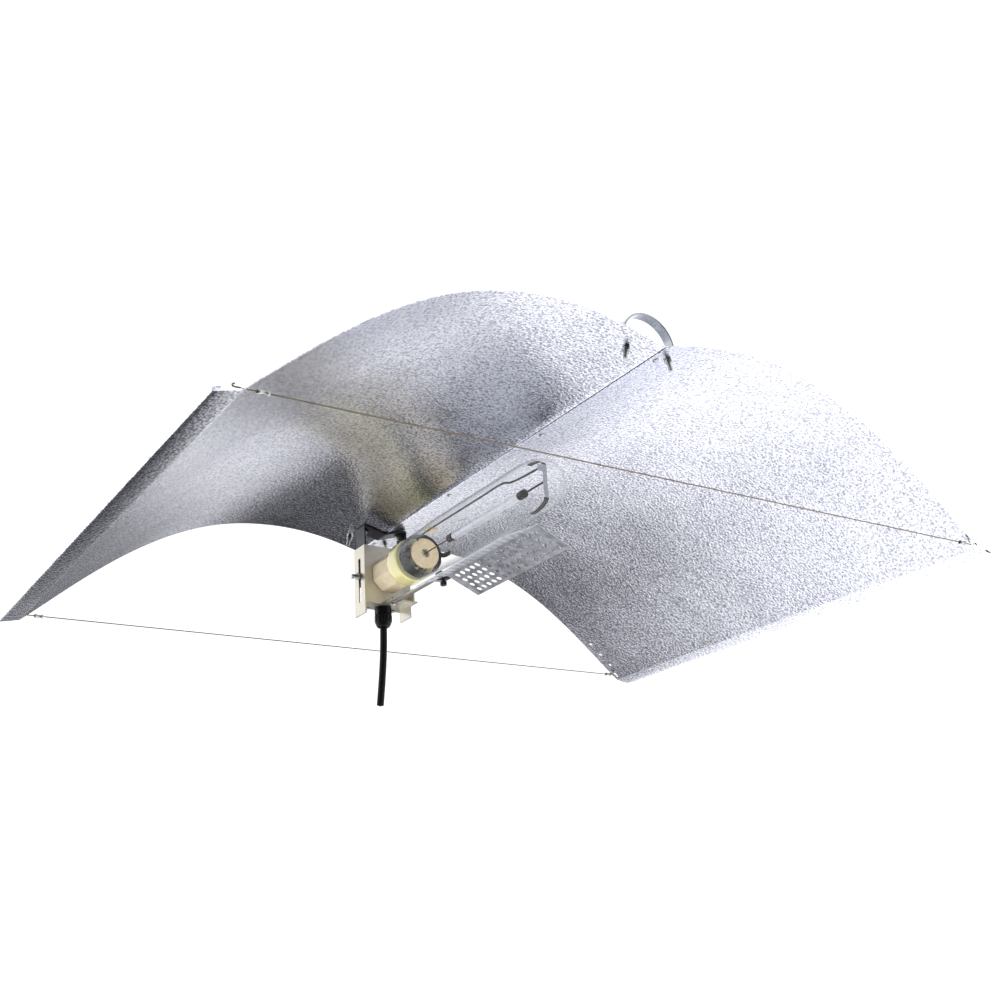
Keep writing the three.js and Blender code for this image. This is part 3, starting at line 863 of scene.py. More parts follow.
def build_nut(name, at, direction, top, height):
    """A hexagon nut with chamfered corners and an open bore."""
    low, bore = top - height, 0.00275
    profile = [(bore, top), (0.0034, top), (0.0041, top - 0.0001), (0.0046, top - 0.0008),
               (0.0046, low + 0.0008), (0.0041, low + 0.0001), (0.0034, low), (bore, low),
               (bore, top)]
    return turned(name, profile, 36, "zinc", towards(at, direction), 30, hexed(ACROSS_FLATS))


class LAMP_OT_fixings(bpy.types.Operator):
    """Build the bolts and nuts of the arches and the lamp hanger"""

    bl_idname = "grow_lamp.fixings"
    bl_label = "Bolts and nuts"

    def execute(self, context):
        # name, place along and across, then the heights of head, nut and tail over the sheet
        sets = [("front_arch", -ARCH_Y, ARCH_BOLT_X, 0.0031, -0.0008, -0.014),
                ("rear_arch", ARCH_Y, ARCH_BOLT_X, 0.0031, -0.0008, -0.014),
                ("hanger", HANGER_BOLT_Y, HANGER_BOLT_X, 0.0008, -0.0031, -0.0115)]
        for name, y, x, head, nut, tail in sets:
            for s, side in ((-1, "left"), (1, "right")):
                at, up = (s * x, y, wing_z(x)), wing_normal(s * x)
                settle(build_bolt(f"{name}_{side}_hex_bolt", at, up, head, tail),
                       "frame", "zinc_steel", f"{name}_{side}_bolt")
                settle(build_nut(f"{name}_{side}_hex_nut", at, up, nut, 0.004),
                       "frame", "zinc_steel", f"{name}_{side}_nut")
        return {"FINISHED"}


class LAMP_OT_tie_wires(bpy.types.Operator):
    """Build the two twisted tie wires with their crimped ferrules"""

    bl_idname = "grow_lamp.tie_wires"
    bl_label = "Tie wires"

    def execute(self, context):
        hook = [(0.470, 0.0), (0.4742, 0.0), (0.4758, 0.0008), (0.4756, 0.0022), (0.4738, 0.0029)]
        sleeve = [(1.45, -5.5), (2.0, -5.5), (2.5, -5.0), (2.7, -4.2), (2.55, -2.6),
                  (2.2, -1.9), (2.2, 1.9), (2.55, 2.6), (2.7, 4.2), (2.5, 5.0),
                  (2.0, 5.5), (1.45, 5.5), (1.45, -5.5)]
        reach, count = 0.930, 300

        def crimped(angle, radius, height):
            """Two flats pressed across the middle."""
            near = abs(height) < 0.003
            return radius * (1 - 0.18 * abs(math.cos(angle)) ** 3) if near else radius

        for name, s in (("front", -1), ("rear", 1)):
            y, body = s * WIRE_Y, f"{name}_wire"
            right = smooth_path([(x, y, WIRE_Z + dz) for x, dz in hook], 5)
            left = [Vector((-p.x, p.y, p.z)) for p in reversed(right)]
            straight = [Vector((-reach / 2 + reach * i / count, y, WIRE_Z))
                        for i in range(count + 1)]
            bm = bmesh.new()
            sweep(bm, left + straight + right, 0.0008, 18, lobes=6, lobe_depth=0.00017,
                  twist_pitch=0.012)
            wire = finish_piece(f"{name}_tie_wire", bm, "wire", 180)
            squeeze(settle(wire, body, "wire_steel", f"{name}_wire"))
            for d, side in ((-1, "left"), (1, "right")):
                ferrule = turned(f"{name}_ferrule_{side}_sleeve", in_mm(sleeve), 24, "zinc",
                                 towards((d * 0.449, y, WIRE_Z), (1, 0, 0)), 35, crimped)
                squeeze(settle(ferrule, body, "wire_steel", f"{name}_ferrule_{side}"))
        return {"FINISHED"}


def squeeze(piece):
    """Gives the tie wire's piece a mesh of its own."""
    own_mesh(piece)


# ---------------------------------------------------------------- hanger and carriage


class LAMP_OT_lamp_hanger(bpy.types.Operator):
    """Build the bent strap that carries the lamp under the ridge"""

    bl_idname = "grow_lamp.lamp_hanger"
    bl_label = "Lamp hanger"

    def execute(self, context):
        low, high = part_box("lamp_hanger")
        half, thick = high.x - 0.001, 0.002

        def under(x):
            return wing_z(x) - 0.0018 / wing_normal(x).z

        right = [(0, under(0.001) - 0.0003), (half - 0.006, under(half - 0.006)),
                 (half, under(half)), (half, low.z)]
        line = [(-x, z) for x, z in right[:0:-1]] + right
        strap = folded_strip("hanger_strap", rounded_line(line, 0.0025), thick, low.y, high.y,
                             "black_steel")
        stud_y, stud_z = clamp_place()
        holes = [((s * HANGER_BOLT_X, HANGER_BOLT_Y, wing_z(HANGER_BOLT_X)),
                  wing_normal(s * HANGER_BOLT_X), BOLT_HOLE, 0.012) for s in (-1, 1)]
        holes += [((s * half, stud_y, stud_z), (1, 0, 0), BOLT_HOLE, 0.006) for s in (-1, 1)]
        bevelled(cut_holes(strap, holes), sizes().edge_round, 2, 50)
        settle(strap, "frame", "dark_steel", "lamp_hanger")
        return {"FINISHED"}


def clamp_place():
    """Where the clamp studs' axis crosses the carriage, y and z."""
    centre = middle("clamp_stud_left")
    return centre.y, centre.z


class LAMP_OT_clamps(bpy.types.Operator):
    """Build the clamp studs and their wing nuts"""

    bl_idname = "grow_lamp.clamps"
    bl_label = "Clamp studs and wing nuts"

    def execute(self, context):
        y, z = clamp_place()
        for s, side in ((-1, "left"), (1, "right")):
            offset = towards((0, y, z), (s, 0, 0))
            stud = [(0, 0.0287), (0.0036, 0.0287), (0.0042, 0.0293), (0.0042, 0.0317),
                    (M5, 0.0317), (M5, 0.0330)]
            stud += thread_profile(M5, 0.0340, 0.0485)[::-1] + [(0.0018, 0.049), (0, 0.0494)]
            settle(turned(f"clamp_stud_{side}_turned", stud, 24, "zinc", offset, 30), "frame",
                   "zinc_steel", f"clamp_stud_{side}")
            low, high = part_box(f"wing_nut_{side}")
            base = min(abs(low.x), abs(high.x))
            bm = bmesh.new()
            spin(bm, [(0.0028, base), (0.0046, base), (0.0052, base + 0.0006),
                      (0.0046, base + 0.0052), (0.0042, base + 0.006), (0.0028, base + 0.006),
                      (0.0028, base)], 32, offset=offset)
            for d in (-1, 1):  # the nut's two ears, broad in the middle and thin at the tip
                rings = []
                for u in (i / 8 for i in range(9)):
                    out = d * (0.0032 + 0.0076 * u)
                    wide = 0.0016 + 0.0018 * math.sin(math.pi * min(1, u * 1.05)) ** 0.7
                    mid = base + 0.0032 + 0.0030 * u
                    thin = 0.0011 - 0.0004 * u
                    rings.append([bm.verts.new(offset @ Vector((
                        thin * math.cos(a), out, mid + wide * math.sin(a))))
                        for a in (2 * math.pi * k / 12 for k in range(12))])
                loft(bm, rings)
                bm.faces.new(rings[0])
                bm.faces.new(rings[-1])
            nut = finish_piece(f"wing_nut_{side}_forged", bm, "zinc", 50)
            settle(nut, f"wing_nut_{side}", "zinc_steel", f"wing_nut_{side}")
        return {"FINISHED"}


class LAMP_OT_carriage(bpy.types.Operator):
    """Finish the folded carriage, its screws and the spreader's arm"""

    bl_idname = "grow_lamp.carriage"
    bl_label = "Carriage"

    def execute(self, context):
        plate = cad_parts["carriage"]
        plate.data.materials.clear()
        plate.data.materials.append(material("plate"))
        rounding = plate.modifiers.new("folds", "BEVEL")
        rounding.width, rounding.segments = 0.0006, 2
        rounding.limit_method, rounding.angle_limit = "ANGLE", math.radians(50)
        for side in ("left", "right"):
            node = f"plate_screw_{side}"
            screw = [(0, 0.0096)] + thread_profile(0.0017, 0.0023, 0.0096)
            screw += [(0.0017, 0.0023), (0.0036, 0.0023), (0.0034, 0.0012), (0.0026, 0.0004),
                      (0.0012, 0.0001), (0.0011, 0.0008), (0, 0.0008)]
            foot = Matrix.Translation((*middle(node).xy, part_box(node)[0].z))
            settle(turned(f"{node}_pan", screw, 24, "zinc", foot, 30), "carriage", "zinc_steel",
                   node)
        low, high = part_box("spreader_arm")
        bm = bmesh.new()
        tip = (high.x - low.x) / 2
        outline = [(high.x, high.y - 0.001), (high.x - 0.001, high.y),
                   (low.x + 0.001, high.y), (low.x, high.y - 0.001)]
        for k in range(13):
            a = math.pi + math.pi * k / 12
            outline.append((tip * math.cos(a), low.y + tip + tip * math.sin(a)))
        floor, roof = ([bm.verts.new((x, y, z)) for x, y in outline] for z in (low.z, high.z))
        bm.faces.new(floor)
        bm.faces.new(roof)
        loft(bm, [floor, roof])
        bar = finish_piece("arm_bar", bm, "arm")
        at = (0, ARM_SCREW_Y, (low.z + high.z) / 2)
        bevelled(cut_holes(bar, [(at, (0, 0, 1), 0.0023, 0.004)]), 0.0004, 2, 50)
        settle(bar, "carriage", "zinc_steel", "spreader_arm")
        screw = [(0, -0.0034), (0.0011, -0.0034), (0.0012, -0.0039), (0.0026, -0.0036),
                 (0.0038, -0.0024), (0.004, -0.0013), (0.002, -0.0013), (0.002, -0.0006)]
        screw += thread_profile(0.002, -0.0002, 0.0086)[::-1] + [(0, 0.009)]
        settle(turned("arm_screw_pan", screw, 24, "zinc", towards(at, (0, 0, 1)), 30),
               "carriage", "zinc_steel", "arm_screw")
        return {"FINISHED"}


# ---------------------------------------------------------------- lampholder, gland, cord


def spun_piece(name, profile_mm, sides, key, slot, body, nodes, smooth=40):
    """A piece spun about the lamp's axis from (radius, y) points in mm."""
    piece = turned(name, in_mm(profile_mm), sides, key, along_lamp(), smooth)
    return settle(piece, body, slot, *nodes)


def rolled_thread(radius, depth, first, last, steps):
    """Points of a round E40 thread between two places along the axis, in mm."""
    pitch = 6.35
    points = []
    for i in range(steps + 1):
        y = first + (last - first) * i / steps
        points.append((radius + depth * math.cos(2 * math.pi * y / pitch), y))
    return points


class LAMP_OT_lampholder(bpy.types.Operator):
    """Build the porcelain lampholder and its screwed contact"""

    bl_idname = "grow_lamp.lampholder"
    bl_label = "Lampholder"

    def execute(self, context):
        collar = [(21.6, 185.1), (22.4, 184.5), (28, 184.5), (29.5, 185.1), (30.3, 186.6),
                  (30.5, 188.5), (30.5, 206), (30.2, 209.2), (29.2, 211.6), (28, 212.3),
                  (22.4, 212.3), (21.6, 211.7), (21.6, 185.1)]
        spun_piece("holder_collar", collar, 72, "porcelain", "glazed_porcelain", "carriage",
                   ["holder_shell"], 60)

        low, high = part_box("holder_block")
        half, chamfer = (high.x - low.x) / 2, 0.014
        cx, cz = (low.x + high.x) / 2, (low.z + high.z) / 2
        corners = [(-1, -1), (1, -1), (1, 1), (-1, 1)]
        outline = []
        for i, (sx, sz) in enumerate(corners):
            a, b = (sx * half, sz * (half - chamfer)), (sx * (half - chamfer), sz * half)
            outline += [a, b] if i % 2 == 0 else [b, a]
        bm = bmesh.new()
        rings = extrude_outline(bm, [(cx + x, cz + z) for x, z in outline], low.y, high.y)
        bm.faces.new(rings[0])
        bm.faces.new(rings[-1])
        block = finish_piece("holder_base_block", bm, "steatite")
        bore = ((0, low.y, cz), (0, 1, 0), 0.0216, 0.0314)
        bevelled(cut_holes(block, [bore]), 0.0012, 3, 40)
        settle(block, "carriage", "bare_porcelain", "holder_block")

        wall = [(21.3, 190), (21.3, 236), (0, 236), (0, 234.6), (18, 234.6)]
        wall += rolled_thread(20.45, 0.25, 234, 192, 36) + [(20.8, 190), (21.3, 190)]
        spun_piece("holder_thread_shell", wall, 48, "brass", "cap_brass", "carriage",
                   ["holder_contact"], 50)
        return {"FINISHED"}


# The cord's route in mm, heights from the ridge: out of the gland, straight down, then a slight
# swing to the rear
CORD_ROUTE = ((0, 278, -112), (0, 278, -138), (-0.4, 279.2, -170), (-1.4, 282.5, -205),
              (-3, 287.5, -244))


class LAMP_OT_cord(bpy.types.Operator):
    """Build the supply cord"""

    bl_idname = "grow_lamp.cord"
    bl_label = "Supply cord"

    def execute(self, context):
        path = smooth_path([(x * MM, y * MM, z * MM + RIDGE_Z) for x, y, z in CORD_ROUTE], 7)
        bm = bmesh.new()
        sweep(bm, path, sizes().cord_diameter / 2, 28)
        flex = finish_piece("supply_cord", bm, "sheath", 50)
        settle(flex, "carriage", "cord_sheath", "cord")
        return {"FINISHED"}


class LAMP_OT_gland(bpy.types.Operator):
    """Build the cable gland's body and dome nut"""

    bl_idname = "grow_lamp.gland"
    bl_label = "Cable gland"

    def execute(self, context):
        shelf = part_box("gland_body")[1].z - 0.007
        offset = Matrix.Translation((*middle("gland_body").xy, shelf))
        body = [(5.3, -11.5), (11.0, -11.5), (11.9, -10.9), (11.9, -2.2), (11.3, -1.3),
                (10, -1.3), (10, 0)]
        body += [(10 - (0.6 if i % 2 else 0), 0.7 * i) for i in range(1, 10)]
        body += [(9.4, 7), (5.3, 7), (5.3, -11.5)]

        def body_flats(angle, radius, height):
            flat = hexed(0.0215)(angle, radius, height)
            return flat if -0.0112 < height < -0.0014 else radius

        settle(turned("gland_hex_body", in_mm(body), 72, "nylon", offset, 35, body_flats),
               "carriage", "gland_nylon", "gland_body")
        nut = [(5.3, -30), (7.4, -30), (8.6, -29.3), (9.9, -27.4), (11.0, -24.8), (11.9, -22.4),
               (12.2, -21.2), (12.2, -13.6), (11.9, -12.4), (11.0, -11.8), (5.3, -11.8),
               (5.3, -30)]

        def grips(angle, radius, height):
            if radius < 0.0105 or height > -0.0125 or height < -0.0235:
                return radius
            return radius - 0.0007 * (0.5 - 0.5 * math.cos(12 * angle)) ** 2

        settle(turned("gland_dome_nut", in_mm(nut), 96, "nylon", offset, 35, grips),
               "carriage", "gland_nylon", "gland_nut")
        return {"FINISHED"}


# ---------------------------------------------------------------- spreader


def punched_roof(y0, y1):
    """The spreader's folded skin from y0 to y1, with rows of holes on both slopes."""
    half, inmost = 0.047, 0.0082  # half width, and the crease to the first row of holes
    slope, rows = math.radians(24), 4
    width = half / math.cos(slope)
    pitch, hole = sizes().hole_pitch, sizes().hole / 2
    count = int((y1 - y0 - 0.008) / pitch)
    first = (y0 + y1 - (count - 1) * pitch) / 2
    bm = bmesh.new()

    def bend(side, u, y):
        """A vertex u down the slope from the crease."""
        return bm.verts.new((side * u * math.cos(slope), y, CREASE_Z - u * math.sin(slope)))

    def patch(side, u0, u1, v0, v1):
        """A plain stretch without holes."""
        bm.faces.new([bend(side, u, y) for u, y in ((u0, v0), (u1, v0), (u1, v1), (u0, v1))])

    points = 24
    for side in (-1, 1):
        edge = inmost - pitch / 2
        for r in range(rows):
            for i in range(count):
                # each hole is a ring joined to the square cell round it
                cu, cy = inmost + r * pitch, first + i * pitch
                ring, rim = [], []
                for k in range(points):
                    a = 2 * math.pi * (k + 0.5) / points
                    c, s = math.cos(a), math.sin(a)
                    far = pitch / 2 / max(abs(c), abs(s))
                    ring.append(bend(side, cu + hole * c, cy + hole * s))
                    rim.append(bend(side, cu + far * c, cy + far * s))
                loft(bm, [rim, ring])
                for sx, sy in ((1, 1), (-1, 1), (-1, -1), (1, -1)):
                    near = sorted(range(points), key=lambda k: -(
                        sx * math.cos(2 * math.pi * (k + 0.5) / points)
                        + sy * math.sin(2 * math.pi * (k + 0.5) / points)))[:2]
                    corner = bend(side, cu + sx * pitch / 2, cy + sy * pitch / 2)
                    bm.faces.new((rim[near[0]], corner, rim[near[1]]))
        outer = edge + rows * pitch
        v0, v1 = first - pitch / 2, first + (count - 0.5) * pitch
        patch(side, 0, edge, v0, v1)
        patch(side, outer, width, v0, v1)
        patch(side, 0, width, y0, v0)
        patch(side, 0, width, v1, y1)
    return bm


class LAMP_OT_spreader(bpy.types.Operator):
    """Build the punched light spreader with its tongue, clip and screw"""

    bl_idname = "grow_lamp.spreader"
    bl_label = "Spreader"

    def execute(self, context):
        low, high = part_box("spreader")
        sheet = finish_piece("spreader_sheet", punched_roof(low.y, SPREADER_END), "punched", 40)
        solid = sheet.modifiers.new("thickness", "SOLIDIFY")
        solid.thickness, solid.offset = 0.001, 0
        apply_modifiers(sheet)
        settle(sheet, "spreader", "perforated_aluminium", "spreader")
        sheet.data.shade_smooth()
        sheet.data.set_sharp_from_angle(angle=math.radians(30))

        bm = bmesh.new()
        brick(bm, (-0.006, SPREADER_END - 0.001, CREASE_Z - 0.001), (0.006, high.y, CREASE_Z))
        tongue = bevelled(finish_piece("spreader_tongue", bm, "punched"), 0.0003, 2)
        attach(tongue, "spreader")

        low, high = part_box("spreader_clip")
        left, right, top, foot = (low.x + 0.0008, high.x - 0.0008, high.z - 0.0008,
                                  low.z + 0.0008)
        wrap = rounded_line([(left, top), (right, top), (right, foot), (left, foot),
                             (left, high.z - 0.0010)], 0.0012, 3)
        clip = folded_strip("spreader_clip_band", wrap, 0.0015, low.y, high.y, "black_steel")
        settle(bevelled(clip, 0.0002, 2, 50), "spreader", "dark_steel", "spreader_clip")

        def knurl(angle, radius, height):
            groove = 0.00035 * (0.5 - 0.5 * math.cos(16 * angle))
            return radius - groove if radius > 0.004 else radius

        screw = [(0, 0), (0.002, 0), (0.002, -0.002), (0.0036, -0.0027), (0.0043, -0.0033),
                 (0.0044, -0.0068), (0.0040, -0.0078), (0.0030, -0.0084), (0, -0.0086)]
        place = Matrix.Translation((0, middle("clip_screw").y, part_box("clip_screw")[1].z))
        settle(turned("clip_thumb_screw", screw, 64, "black_steel", place, 30, knurl),
               "spreader", "dark_steel", "clip_screw")
        return {"FINISHED"}


# ---------------------------------------------------------------- lamp


def getter_band():
    """The getter's thin band inside the glass, with ragged edges."""
    bm = bmesh.new()
    offset = along_lamp()
    sides, rows = 120, 9
    skins = []
    for radius in (27.0, 27.8):
        rings = []
        for j in range(rows):
            ring = []
            for k in range(sides):
                a = 2 * math.pi * k / sides
                rag = 3.2 * noise.noise(Vector((4 * math.cos(a), 4 * math.sin(a), 1.7)))
                rag += 1.2 * noise.noise(Vector((13 * math.cos(a), 13 * math.sin(a), 6.2)))
                low = 160.5 + 0.8 * rag
                high = 178.5 + 0.4 * rag
                y = low + (high - low) * j / (rows - 1)
                ring.append(bm.verts.new(offset @ Vector(
                    (radius * MM * math.cos(a), radius * MM * math.sin(a), y * MM))))
            rings.append(ring)
        skins.append(rings)
    inside, outside = skins
    rims = [(inside[j], outside[j]) for j in (0, -1)]
    for rings in (inside, outside, *rims):
        loft(bm, rings)
    return bm


class LAMP_OT_lamp_glass(bpy.types.Operator):
    """Build the lamp's outer glass, stem and black getter ring"""

    bl_idname = "grow_lamp.lamp_glass"
    bl_label = "Lamp glass"

    def execute(self, context):
        knots = [(21, 183.9), (26.4, 183.7), (28.6, 182.8), (29.9, 179.5), (31.2, 140), (33, 90),
                 (33, 0), (33, -84), (32.2, -104), (29.6, -119), (24, -130.5), (15, -137.5),
                 (0, -140)]
        outer = [(max(0.0, p.x), p.y) for p in smooth_path([(r, y, 0) for r, y in knots], 5)]
        outer[-1] = (0, -140)
        inner = []
        for i, (r, y) in enumerate(outer):
            j, k = max(i - 1, 0), min(i + 1, len(outer) - 1)
            d = Vector((outer[k][0] - outer[j][0], outer[k][1] - outer[j][1])).normalized()
            inner.append((max(0.0, r + 1.2 * d.y), y - 1.2 * d.x))
        inner[0] = (19.8, 183.9)
        inner[-1] = (0, -138.8)
        spun_piece("lamp_outer_glass", outer[::-1] + inner, 96, "glass", "lamp_glass", "lamp",
                   ["lamp_envelope"], 180)
        spun_piece("lamp_stem_press", [(0, 161), (4.5, 161), (6, 162), (6.2, 167), (7, 172),
                                       (8.6, 178), (11, 183.6), (0, 183.6)], 40, "glass",
                   "stem_glass", "lamp", ["lamp_stem"], 50)
        settle(finish_piece("getter_mirror", getter_band(), "getter", 60), "lamp",
               "getter_coating", "lamp_getter_ring")
        return {"FINISHED"}


class LAMP_OT_lamp_inside(bpy.types.Operator):
    """Build the lamp's cap, arc tube, frame and small parts"""

    bl_idname = "grow_lamp.lamp_inside"
    bl_label = "Lamp cap and burner"

    def execute(self, context):
        cap = [(0, 184.3), (18.8, 184.3), (19.2, 184.7), (19.2, 187)]
        cap += rolled_thread(18.55, 0.35, 188, 216, 30)
        cap += [(15, 220.5), (9, 224.5), (6.2, 225), (6, 228.1), (4.5, 229), (0, 229.1)]
        spun_piece("lamp_screw_cap", cap, 56, "brass", "cap_brass", "lamp", ["lamp_cap"], 50)
        spun_piece("heat_shield_disc", [(6, 156.6), (6.6, 156), (20.4, 156), (21, 156.6),
                                        (21, 159.4), (20.4, 160), (6.6, 160), (6, 159.4),
                                        (6, 156.6)], 64, "ceramic", "lamp_ceramic", "lamp",
                   ["lamp_disc"])
        spun_piece("burner_tube", [(0, -68), (4.4, -68), (4.9, -67), (4.9, 82), (4.4, 83),
                                   (0, 83)], 32, "alumina", "arc_tube_alumina", "lamp",
                   ["arc_tube"], 50)
        spun_piece("burner_end_rear", [(0, 83.3), (5.0, 83.3), (5.4, 84), (5.4, 94.4), (4.8, 95.2),
                                       (1.3, 95.6), (0.8, 98), (0.8, 160.4), (0, 160.7)], 28,
                   "nickel", "lamp_metal", "lamp", ["arc_collar_rear"])
        spun_piece("burner_end_front", [(0, -68.3), (5.0, -68.3), (5.4, -69), (5.4, -79.4),
                                        (4.8, -80.2), (1.3, -80.6), (1.2, -83), (1.2, -121),
                                        (0, -121.2)], 28, "nickel", "lamp_metal", "lamp",
                   ["arc_collar_front"])
        x0, z0 = lamp_axis()
        route = [(-13, 154.8, 16), (-13.5, 146, 18.5), (-13, 130, 20), (-13, 100, 20.5),
                 (-13, 0, 20.5), (-13, -50, 20.5), (-11, -66, 17), (-9, -84, 16),
                 (-6, -121.2, 16)]
        bm = bmesh.new()
        path = smooth_path([(x0 + x * MM, y * MM, z0 + z * MM) for x, y, z in route], 8)
        sweep(bm, path, 0.00125, 14)
        settle(finish_piece("burner_frame_wire", bm, "nickel", 60), "lamp", "lamp_metal",
               "lamp_frame")
        bm = bmesh.new()
        brick(bm, *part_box("frame_block"))
        settle(bevelled(finish_piece("frame_insulator", bm, "ceramic"), 0.0007, 3), "lamp",
               "lamp_ceramic", "frame_block")
        low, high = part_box("dome_strap")
        centre, reach = middle("dome_strap"), (high.z - low.z - 0.0008) / 2
        line = [(0.0006 * math.cos(math.pi * u), centre.z + reach * u)
                for u in (-1 + 2 * i / 24 for i in range(25))]
        bm = bmesh.new()
        leaf(bm, line, 0.0005, 0.003, lambda a, z, x: (x, centre.y + a * 0.42, z))
        brick(bm, (low.x, low.y + 0.0002, centre.z + 0.012),
              (0.003, high.y - 0.0002, centre.z + 0.020))
        settle(finish_piece("dome_spring_strap", bm, "band", 40), "lamp", "lamp_metal",
               "dome_strap")
        dome = [(20.6, -122.1), (24.6, -119.5), (28.2, -112), (30.6, -101), (31.0, -92)]
        disc = [(21.2, 157.5), (24.5, 154.5), (27.5, 154), (29.2, 148.5), (29.4, 141)]
        for name, route, degrees in (("dome_spring_upper", dome, 90),
                                     ("dome_spring_lower", dome, 270), ("disc_spring", disc, 0)):
            path = [p.xy for p in smooth_path([(r, y, 0) for r, y in route], 6)]
            turn = Matrix.Rotation(math.radians(degrees), 4, "Y")
            place = Matrix.Translation((x0, 0, z0)) @ turn
            bm = bmesh.new()
            leaf(bm, path, 0.5, 3.2, lambda r, y, z: place @ Vector((r * MM, y * MM, z * MM)))
            spring = finish_piece(name, bm, "nickel", 50)
            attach(spring, "lamp")
        return {"FINISHED"}


# ---------------------------------------------------------------- stage


FLOOR_Z = -2.5
CAMERA_AT = Vector((-0.815, -1.201, -0.667))
AZIMUTH, ELEVATION, ROLL = 34.76, 21.41, -3.70  # degrees; the camera looks up
LENS = 44.86

# Soft light lobes as (azimuth, elevation, sharpness, strength): dark flags and a pale surround
SURROUND = 0.98
MIRROR_GAIN = 1.8  # mirrors see the surround brighter than matt surfaces do
DARKEST = 0.02
LOBES = (
    (31.2, -6.9, 18.4, -0.50), (-12.0, -39.4, 120.0, -0.50), (3.3, -32.0, 33.5, -1.25),
    (25.2, -26.6, 66.4, -0.72), (36.3, 14.3, 240.0, -0.60), (20.8, 9.3, 118.6, -0.90),
    (215.0, -22.0, 1.7, -1.1), (21.0, -13.0, 90.0, -0.60), (0.0, 90.0, 2.5, -0.60),
)


class LAMP_OT_stage(bpy.types.Operator):
    """Set the camera, the studio light and the floor"""

    bl_idname = "grow_lamp.stage"
    bl_label = "Stage"

    def execute(self, context):
        scene = context.scene
        scene.view_settings.view_transform = "Standard"
        scene.view_settings.look = "Medium High Contrast"
        set_camera(scene)
        set_world(scene)
        set_lights(scene)
        bm = bmesh.new()
        bmesh.ops.create_grid(bm, x_segments=2, y_segments=2, size=10)
        floor = finish_piece("studio_floor", bm, "paper")
        floor.location.z = FLOOR_Z
        floor.visible_glossy = False
        return {"FINISHED"}


def aim(azimuth, elevation):
    """The direction at that azimuth from +Y towards +X and that elevation, in degrees."""
    a, e = math.radians(azimuth), math.radians(elevation)
    return Vector((math.sin(a) * math.cos(e), math.cos(a) * math.cos(e), math.sin(e)))


def set_camera(scene):
    """The camera below the reflector, looking up along its length."""
    ahead = aim(AZIMUTH, ELEVATION)
    right = ahead.cross(Vector((0, 0, 1))).normalized()
    up = right.cross(ahead)
    roll = math.radians(ROLL)
    right, up = (right * math.cos(roll) + up * math.sin(roll),
                 up * math.cos(roll) - right * math.sin(roll))
    camera = bpy.data.objects.new("camera", bpy.data.cameras.new("camera"))
    scene.collection.objects.link(camera)
    turn = Matrix((right, up, -ahead)).transposed().to_4x4()
    camera.matrix_world = Matrix.Translation(CAMERA_AT) @ turn
    camera.data.lens, camera.data.sensor_width = LENS, 36
    camera.data.clip_start, camera.data.clip_end = 0.02, 200
    scene.camera = camera


def set_world(scene):
    """A pale studio with soft dark flags that only reflections and soft light see."""
    world = bpy.data.worlds.new("studio")
    scene.world = world
    world.use_nodes = True
    tree = world.node_tree
    tree.nodes.clear()
    output = add_node(tree, "ShaderNodeOutputWorld")
    direction = add_node(tree, "ShaderNodeTexCoord").outputs["Generated"]
    unit = add_node(tree, "ShaderNodeVectorMath", {0: direction}, operation="NORMALIZE")
    total = None
    for azimuth, elevation, sharpness, strength in LOBES:
        dot = add_node(tree, "ShaderNodeVectorMath", {0: unit.outputs[0]},
                       {1: aim(azimuth, elevation)}, operation="DOT_PRODUCT")
        scaled = add_node(tree, "ShaderNodeMath", {0: dot.outputs["Value"]},
                          {1: sharpness, 2: -sharpness}, operation="MULTIPLY_ADD")
        bell = add_node(tree, "ShaderNodeMath", {0: scaled.outputs[0]}, operation="EXPONENT")
        below = {2: total.outputs[0]} if total else {}
        total = add_node(tree, "ShaderNodeMath", {0: bell.outputs[0], **below},
                         {1: strength, 2: SURROUND}, operation="MULTIPLY_ADD")
    lowest = add_node(tree, "ShaderNodeMath", {0: total.outputs[0]}, {1: DARKEST},
                      operation="MAXIMUM")
    seen = add_node(tree, "ShaderNodeLightPath")
    bright = add_node(tree, "ShaderNodeMath", {0: lowest.outputs[0]}, {1: MIRROR_GAIN},
                      operation="MULTIPLY")
    level = add_node(tree, "ShaderNodeMix", {0: seen.outputs["Is Glossy Ray"],
                                             3: bright.outputs[0]}, {2: SURROUND})
    studio = add_node(tree, "ShaderNodeBackground", {"Strength": level.outputs[0]},
                      Color=linear("#FBFBFF"))
    plain = add_node(tree, "ShaderNodeBackground", Color=(1, 1, 1, 1), Strength=1.0)
    mix = add_node(tree, "ShaderNodeMixShader", {0: seen.outputs["Is Camera Ray"],
                                                 1: studio.outputs[0], 2: plain.outputs[0]})
    tree.links.new(mix.outputs[0], output.inputs["Surface"])


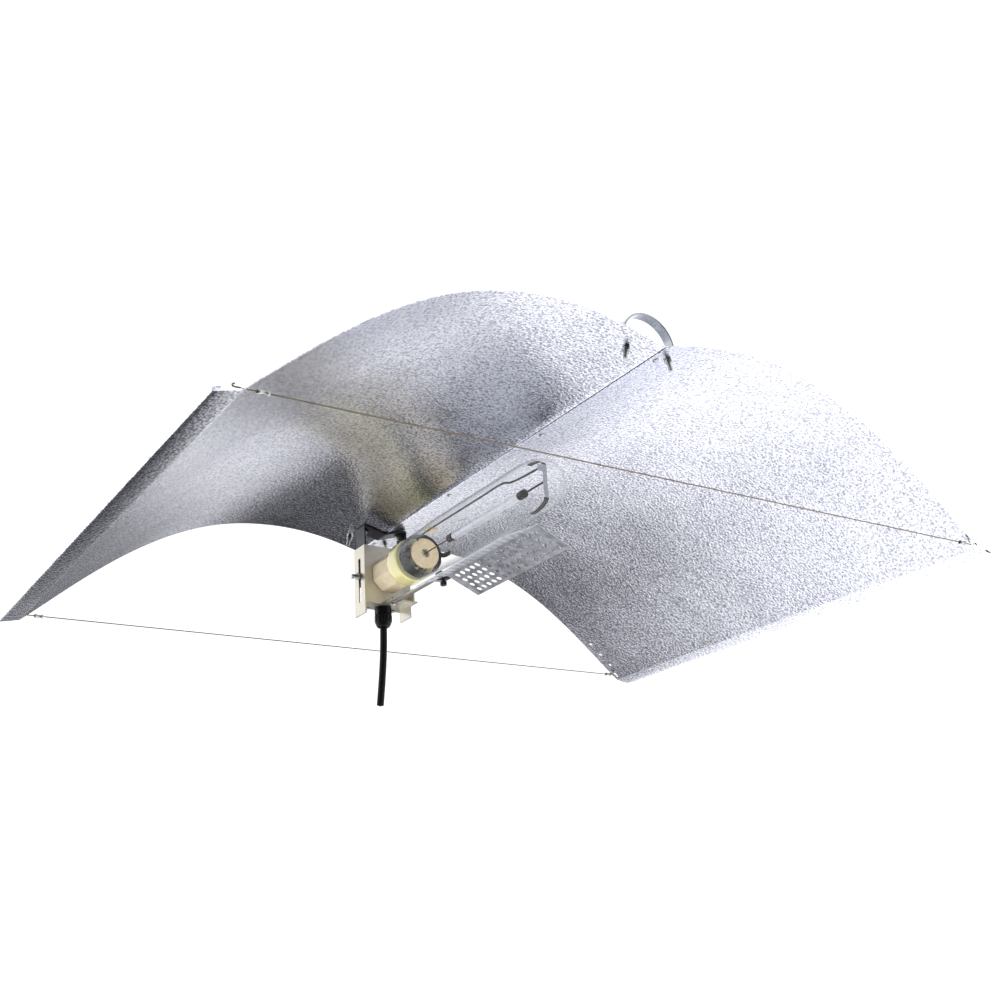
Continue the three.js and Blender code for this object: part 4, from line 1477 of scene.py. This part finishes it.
def set_lights(scene):
    """Two soft boxes, seen by matt surfaces and as gentle highlights."""
    boxes = [("key_box", (-1.6, -1.5, -0.1), 1.2, 22), ("fill_box", (1.2, -1.8, -0.7), 1.4, 10)]
    target = Vector((0, 0.2, -0.12))
    for name, at, size, watts in boxes:
        light = bpy.data.lights.new(name, "AREA")
        light.energy, light.size = watts, size
        obj = bpy.data.objects.new(name, light)
        scene.collection.objects.link(obj)
        facing = Vector((0, 0, -1)).rotation_difference(target - Vector(at))
        obj.matrix_world = Matrix.Translation(at) @ facing.to_matrix().to_4x4()
        obj.visible_camera = False
        obj.visible_glossy = False


# ---------------------------------------------------------------- add-on


PIECES = (
    LAMP_OT_stage, LAMP_OT_cord, LAMP_OT_gland, LAMP_OT_wings, LAMP_OT_ridge_rivets,
    LAMP_OT_arches, LAMP_OT_fixings, LAMP_OT_tie_wires, LAMP_OT_lamp_hanger, LAMP_OT_clamps,
    LAMP_OT_carriage, LAMP_OT_lampholder, LAMP_OT_spreader, LAMP_OT_lamp_glass,
    LAMP_OT_lamp_inside,
)


class LAMP_PT_panel(bpy.types.Panel):
    """Lists the lamp's pieces in the sidebar"""

    bl_idname = "LAMP_PT_panel"
    bl_label = "Grow Lamp"
    bl_space_type = "VIEW_3D"
    bl_region_type = "UI"
    bl_category = "Grow Lamp"

    def draw(self, context):
        for settings in (sizes(), colours()):
            box = self.layout.box()
            for key in settings.__annotations__:
                box.prop(settings, key)
        for piece in PIECES:
            self.layout.operator(piece.bl_idname)


CLASSES = (GrowLampSizes, GrowLampColours, *PIECES, LAMP_PT_panel)


def register():
    """Registers the settings, the operators and the panel."""
    for cls in CLASSES:
        bpy.utils.register_class(cls)
    bpy.types.Scene.grow_lamp_sizes = PointerProperty(type=GrowLampSizes)
    bpy.types.Scene.grow_lamp_colours = PointerProperty(type=GrowLampColours)


def unregister():
    """Removes what register added."""
    del bpy.types.Scene.grow_lamp_colours
    del bpy.types.Scene.grow_lamp_sizes
    for cls in reversed(CLASSES):
        bpy.utils.unregister_class(cls)


def main():
    """Builds every piece in order."""
    register()
    for piece in PIECES:
        group, call = piece.bl_idname.split(".")
        getattr(getattr(bpy.ops, group), call)()


if __name__ == "__main__":
    main()
